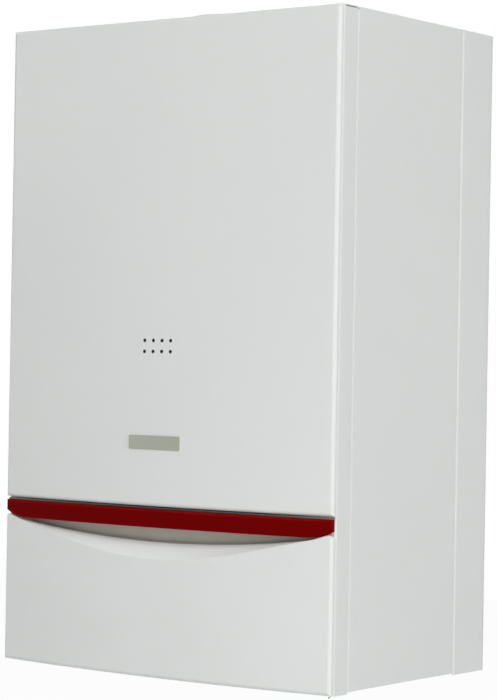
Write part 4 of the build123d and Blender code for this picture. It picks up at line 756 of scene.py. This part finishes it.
roof_places = [at(side * ROOF_REACH, y, ROOF_HEAD) for side in SIDES for y in ROOF_ROW]
flue_spots = [round_spot(FLUE_RING, angle) for angle in FLUE_ANGLES]
flue_places = [at(x, y + FLUE_Y, FLANGE_HEAD) for x, y in flue_spots]
tray_places = [at(side * TRAY_REACH, y, TRAY_FACE) for side in SIDES for y in TRAY_ROW]
lid_places = [at(side * LID_REACH, LID_FACE, z) for side in SIDES for z in LID_COLUMN]
lid_places += [at(x, LID_FACE, LID_FOOT) for x in LID_ROW]
screw_sets = [
    screws("roof", roof_places, (0.0, 0.0, 1.0), 3.8, 2.2),
    screws("flue", flue_places, (0.0, 0.0, 1.0), 3.4, 2.0),
    screws("tray", tray_places, (0.0, 0.0, -1.0), 3.8, 2.0),
    screws("lid", lid_places, (0.0, -1.0, 0.0), 3.6, 2.2),
]
piece_of("casing_screws", screw_sets, "casing")

# %% [markdown]
# ## Pipe threads
# The five tails below the tray carry straight pipe threads with 14 turns to the inch. A spiral
# swept with a four-cornered section gives each ridge; the two bores differ only in radius, so each
# point says how wide its tail is. A turned texture would do from afar but not in outline.

# %% Threads on the tails
WIDE_TAIL, NARROW_TAIL = 13.2 * MM, 10.5 * MM
TAIL_PITCH, TAIL_Y, TAIL_FOOT = 65, -150, -11.3

thread_tree, entry, leave = node_tree(
    "pipe_threads",
    [
        ("Length", "Float", 0.0106), ("Pitch", "Float", 0.001814), ("Ridge", "Float", 0.0005),
        ("Material", "Material", None),
    ],
)
length = entry.outputs["Length"]
spiral = add(
    thread_tree, "GeometryNodeCurveSpiral", Resolution=40, Start_Radius=1.0, End_Radius=1.0, Height=length,
    Rotations=maths(thread_tree, "DIVIDE", length, entry.outputs["Pitch"]),
)
width = add(thread_tree, "GeometryNodeInputNamedAttribute", {"data_type": "FLOAT"}, Name="tail_radius")
wound = add(
    thread_tree, "GeometryNodeInstanceOnPoints", Points=entry.outputs["Geometry"],
    Instance=spiral.outputs["Curve"],
    Scale=triple(thread_tree, width.outputs["Attribute"], width.outputs["Attribute"], 1.0),
)
loose = add(thread_tree, "GeometryNodeRealizeInstances", Geometry=wound.outputs["Instances"])
section = add(
    thread_tree, "GeometryNodeCurvePrimitiveCircle", {"mode": "RADIUS"}, Resolution=4,
    Radius=entry.outputs["Ridge"],
)
ridge = add(
    thread_tree, "GeometryNodeCurveToMesh", Curve=loose.outputs["Geometry"],
    Profile_Curve=section.outputs["Curve"], Fill_Caps=True,
)
close_tree(thread_tree, ridge.outputs["Mesh"], entry, leave)
tail_radii = [WIDE_TAIL, NARROW_TAIL, WIDE_TAIL, NARROW_TAIL, WIDE_TAIL]
tail_places = [at(TAIL_PITCH * (index - 2), TAIL_Y, TAIL_FOOT) for index in range(5)]
tail_rows = {"tail_radius": tail_radii}
thread_mesh = grown("threads", thread_tree, tail_places, tail_rows, {"Material": brass_body})
piece_of("pipe_threads", [thread_mesh], "casing")

# %% [markdown]
# ## Marks round the knobs and on the gauge
# The controls sit behind the flap. Their scales are printed: short strokes set round an arc, with a
# longer one at each end. One tree makes any such scale from its radius, sweep and count, so the
# knobs and the gauge share it. The strokes stand a tenth of a millimetre proud, like thick ink.

# %% Scales
scale_tree, entry, leave = node_tree(
    "printed_scale",
    [
        ("Count", "Int", 11), ("Radius", "Float", 0.024), ("Start", "Float", 0.0), ("Sweep", "Float", 4.712),
        ("Stroke", "Vector", None), ("Material", "Material", None),
    ],
)
arc = add(
    scale_tree, "GeometryNodeCurveArc", {"mode": "RADIUS"}, Resolution=entry.outputs["Count"],
    Radius=entry.outputs["Radius"], Start_Angle=entry.outputs["Start"], Sweep_Angle=entry.outputs["Sweep"],
)
marks = add(scale_tree, "GeometryNodeCurveToPoints", {"mode": "EVALUATED"}, Curve=arc.outputs["Curve"])
stroke = add(scale_tree, "GeometryNodeMeshCube", Size=entry.outputs["Stroke"])
away = add(scale_tree, "GeometryNodeInputPosition")
radial = add(
    scale_tree, "FunctionNodeAlignRotationToVector", {"axis": "Y", "pivot_axis": "Z"},
    Vector=away.outputs["Position"],
)
ring = add(
    scale_tree, "GeometryNodeInstanceOnPoints", Points=marks.outputs["Points"],
    Instance=stroke.outputs["Mesh"], Rotation=radial.outputs["Rotation"],
)
stood = add(
    scale_tree, "GeometryNodeTransform", Geometry=ring.outputs["Instances"], Rotation=QUARTER_TURN
)
put = add(
    scale_tree, "GeometryNodeInstanceOnPoints", Points=entry.outputs["Geometry"],
    Instance=stood.outputs["Geometry"],
)
close_tree(scale_tree, put.outputs["Instances"], entry, leave)

white_ink = moulded("white_print", (0.74, 0.74, 0.73), (0.80, 0.80, 0.79), 0.48, 0.00001)
black_ink = moulded("black_print", (0.012, 0.012, 0.013), (0.024, 0.024, 0.025), 0.50, 0.00001)
red_ink = moulded("red_print", (0.50, 0.02, 0.02), (0.58, 0.035, 0.03), 0.46, 0.00001)
FASCIA, DIAL, CONTROLS = -283.0, -279.5, 88.0
GAUGE_X, MODE_X, HEATING_X, WATER_X = -144, -72, 72, 144
SCALE_END, MODE_END, GAUGE_RED = 135, 90, 68
INK = 0.12


def scale(name, centre, count, radius, first, last, stroke, ink):
    """Strokes round a centre; angles run clockwise from straight up, a stroke has width and length."""
    values = {
        "Count": count, "Radius": radius * MM, "Material": ink,
        "Start": math.radians(90 - last), "Sweep": math.radians(last - first),
        "Stroke": (stroke[0] * MM, stroke[1] * MM, 2 * INK * MM),
    }
    return grown(name, scale_tree, [centre], {}, values)


knob_scales = []
for x in (HEATING_X, WATER_X):
    spot = at(x, FASCIA, CONTROLS)
    knob_scales.append(scale("fine", spot, 11, 22.6, -SCALE_END, SCALE_END, (0.7, 2.2), white_ink))
    knob_scales.append(scale("ends", spot, 3, 23.2, -SCALE_END, SCALE_END, (1.1, 3.4), white_ink))
mode_centre = at(MODE_X, FASCIA, CONTROLS)
knob_scales.append(scale("modes", mode_centre, 3, 22.8, -MODE_END, MODE_END, (1.1, 2.8), white_ink))
dial_centre = at(GAUGE_X, DIAL, CONTROLS)
gauge_scales = [
    scale("fine", dial_centre, 41, 19.2, -SCALE_END, SCALE_END, (0.25, 1.6), black_ink),
    scale("whole", dial_centre, 5, 18.6, -SCALE_END, SCALE_END, (0.55, 3.0), black_ink),
    scale("high", dial_centre, 24, 20.8, GAUGE_RED, SCALE_END, (1.0, 0.8), red_ink),
]
print("scales", len(knob_scales) + len(gauge_scales))

# %% [markdown]
# ## Signs and figures
# Pictures instead of words tell the knobs apart: a radiator for heating, a drop for hot water and a
# ring for off. They are cut from flat outlines. The gauge counts from 0 to 4, the two larger scales
# from 0 to 5. Figures are text objects with a little thickness, made plain meshes at once.

# %% Signs and figures
SIGN_RISE, MODE_SIGN_RISE, MODE_SIGN_REACH = 31, 30, 28.5
GAUGE_FIGURE_RING, KNOB_FIGURE_RING = 14.0, 28.5
GAUGE_FIRST, GAUGE_STEP = 225, 67.5
KNOB_ENDS = (("0", 225), ("5", -45))


def plate(name, outlines, origin, finish):
    """Thin inked shapes on a face that looks along -Y; an outline is a list of (x, z) in mm."""
    shapes = bmesh.new()
    for outline in outlines:
        back = [shapes.verts.new(origin + Vector((x, 0.0, z)) * MM) for x, z in outline]
        face = shapes.faces.new(back)
        extruded = bmesh.ops.extrude_face_region(shapes, geom=[face])["geom"]
        front = [item for item in extruded if isinstance(item, bmesh.types.BMVert)]
        bmesh.ops.translate(shapes, vec=Vector((0.0, -INK, 0.0)) * MM, verts=front)
    return mesh_of(name, shapes, finish)


def ring_points(radius, count=20, first=0.0, last=360.0):
    """Points on a circle round the origin."""
    steps = count if last - first >= 360.0 else count - 1
    return [round_spot(radius, first + (last - first) * index / steps) for index in range(count)]


def oblong(x, z, half_width, half_height):
    """Corners of an upright oblong round a point."""
    low, high = z - half_height, z + half_height
    left, right = x - half_width, x + half_width
    return [(left, low), (right, low), (right, high), (left, high)]


def radiator_sign():
    """Four upright columns joined by two rails."""
    columns = [oblong(x, 0.0, 0.55, 2.6) for x in (-3.0, -1.0, 1.0, 3.0)]
    rails = [oblong(0.0, z, 2.4, 0.3) for z in (-1.7, 1.7)]
    return columns + rails


def drop_sign():
    """A drop of water: a round foot drawn up to a point."""
    foot = ring_points(2.0, 15, 150.0, 390.0)
    return [[(x, z - 0.7) for x, z in foot] + [(0.0, 3.4)]]


def ring_sign():
    """Ring for off, in short flat pieces."""
    count = 24
    outer, inner = ring_points(2.5, count), ring_points(1.75, count)
    pairs = [(index, (index + 1) % count) for index in range(count)]
    return [[outer[here], outer[after], inner[after], inner[here]] for here, after in pairs]


def moved(outlines, x, z):
    """The same outlines, shifted."""
    return [[(px + x, pz + z) for px, pz in outline] for outline in outlines]


fascia_origin = at(0, FASCIA, CONTROLS)
signs = moved(radiator_sign(), HEATING_X, SIGN_RISE) + moved(drop_sign(), WATER_X, SIGN_RISE)
signs += moved(ring_sign(), MODE_X - MODE_SIGN_REACH, 0) + moved(drop_sign(), MODE_X, MODE_SIGN_RISE)
signs += moved(radiator_sign(), MODE_X + MODE_SIGN_REACH, 0)
sign_mesh = plate("signs", signs, fascia_origin, white_ink)
piece_of("fascia_marks", knob_scales + [sign_mesh], "casing")


def figure(text, centre_x, radius, angle, size, plane, finish):
    """A figure beside a scale, made a mesh, standing on a plane that looks along -Y."""
    letters = bpy.data.curves.new("figure", "FONT")
    letters.body = text
    letters.size = size * MM
    letters.extrude = INK * MM
    letters.align_x = "CENTER"
    letters.align_y = "CENTER"
    holder = bpy.data.objects.new("figure", letters)
    bpy.context.scene.collection.objects.link(holder)
    mesh = bpy.data.meshes.new_from_object(holder.evaluated_get(bpy.context.evaluated_depsgraph_get()))
    x, z = round_spot(radius, angle)
    upright = Matrix.Rotation(math.radians(90), 4, "X")
    mesh.transform(Matrix.Translation(at(centre_x + x, plane, CONTROLS + z)) @ upright)
    mesh.materials.clear()
    mesh.materials.append(finish)
    bpy.data.objects.remove(holder)
    bpy.data.curves.remove(letters)
    return mesh


gauge_angles = [GAUGE_FIRST - GAUGE_STEP * index for index in range(5)]
figures = [
    figure(str(index), GAUGE_X, GAUGE_FIGURE_RING, angle, 4.4, DIAL, black_ink)
    for index, angle in enumerate(gauge_angles)
]
piece_of("gauge_marks", gauge_scales + figures, "casing")
for name, x in (("heating_figures", HEATING_X), ("water_figures", WATER_X)):
    knob_figures = [
        figure(text, x, KNOB_FIGURE_RING, angle, 5.0, FASCIA, white_ink) for text, angle in KNOB_ENDS
    ]
    piece_of(name, knob_figures, "casing")

# %% [markdown]
# ## Display, pointers and foot
# Behind the pane lies a dark liquid-crystal panel. Each knob has a groove that points at its scale;
# it is filled with white paint, so it turns with the knob. Under the right end of the flap the
# front cover shows a small dark hook, which two small blocks stand for here.

# %% Display, pointers and foot
DISPLAY_HALF, DISPLAY_FRONT, DISPLAY_BACK, DISPLAY_FOOT, DISPLAY_HEAD = 33.6, -280.9, -280.3, 86.4, 105.6
POINTER_HALF, POINTER_FRONT, POINTER_BACK, POINTER_FOOT, POINTER_HEAD = 0.7, -296.45, -295.4, 89.0, 103.2
HOOK_LEFT, HOOK_RIGHT, HOOK_HEAD = 224.2, 225.0, -0.2


def solid_box(name, low, high, finish, bevel=0.0):
    """Box between two corners in metres; the bevel that eases its edges is in mm."""
    cube = bmesh.new()
    shape = Matrix.Translation((low + high) / 2) @ Matrix.Diagonal((*(high - low), 1.0))
    bmesh.ops.create_cube(cube, size=1.0, matrix=shape)
    if bevel:
        bmesh.ops.bevel(cube, geom=cube.edges[:], offset=bevel * MM, segments=2, affect="EDGES")
    return mesh_of(name, cube, finish)


lcd = moulded("display_crystal", (0.020, 0.034, 0.030), (0.030, 0.048, 0.042), 0.22, 0.000004, 3200.0, 0.4)
display_low = at(-DISPLAY_HALF, DISPLAY_FRONT, DISPLAY_FOOT)
display_high = at(DISPLAY_HALF, DISPLAY_BACK, DISPLAY_HEAD)
display_panel = solid_box("panel", display_low, display_high, lcd, 0.2)
piece_of("display_panel", [display_panel], "casing")
for body, x in (("mode_knob", MODE_X), ("heating_knob", HEATING_X), ("water_knob", WATER_X)):
    fill_low = at(x - POINTER_HALF, POINTER_FRONT, POINTER_FOOT)
    fill_high = at(x + POINTER_HALF, POINTER_BACK, POINTER_HEAD)
    piece_of(body + "_pointer", [solid_box("fill", fill_low, fill_high, white_ink)], body)
hook = [
    solid_box(name, at(HOOK_LEFT, front, foot), at(HOOK_RIGHT, back, HOOK_HEAD), black_plastic, 0.1)
    for name, front, back, foot in (("arm", -300.6, -297.2, -0.7), ("tip", -301.2, -300.4, -1.8))
]
piece_of("cover_foot_hook", hook, "front_cover")
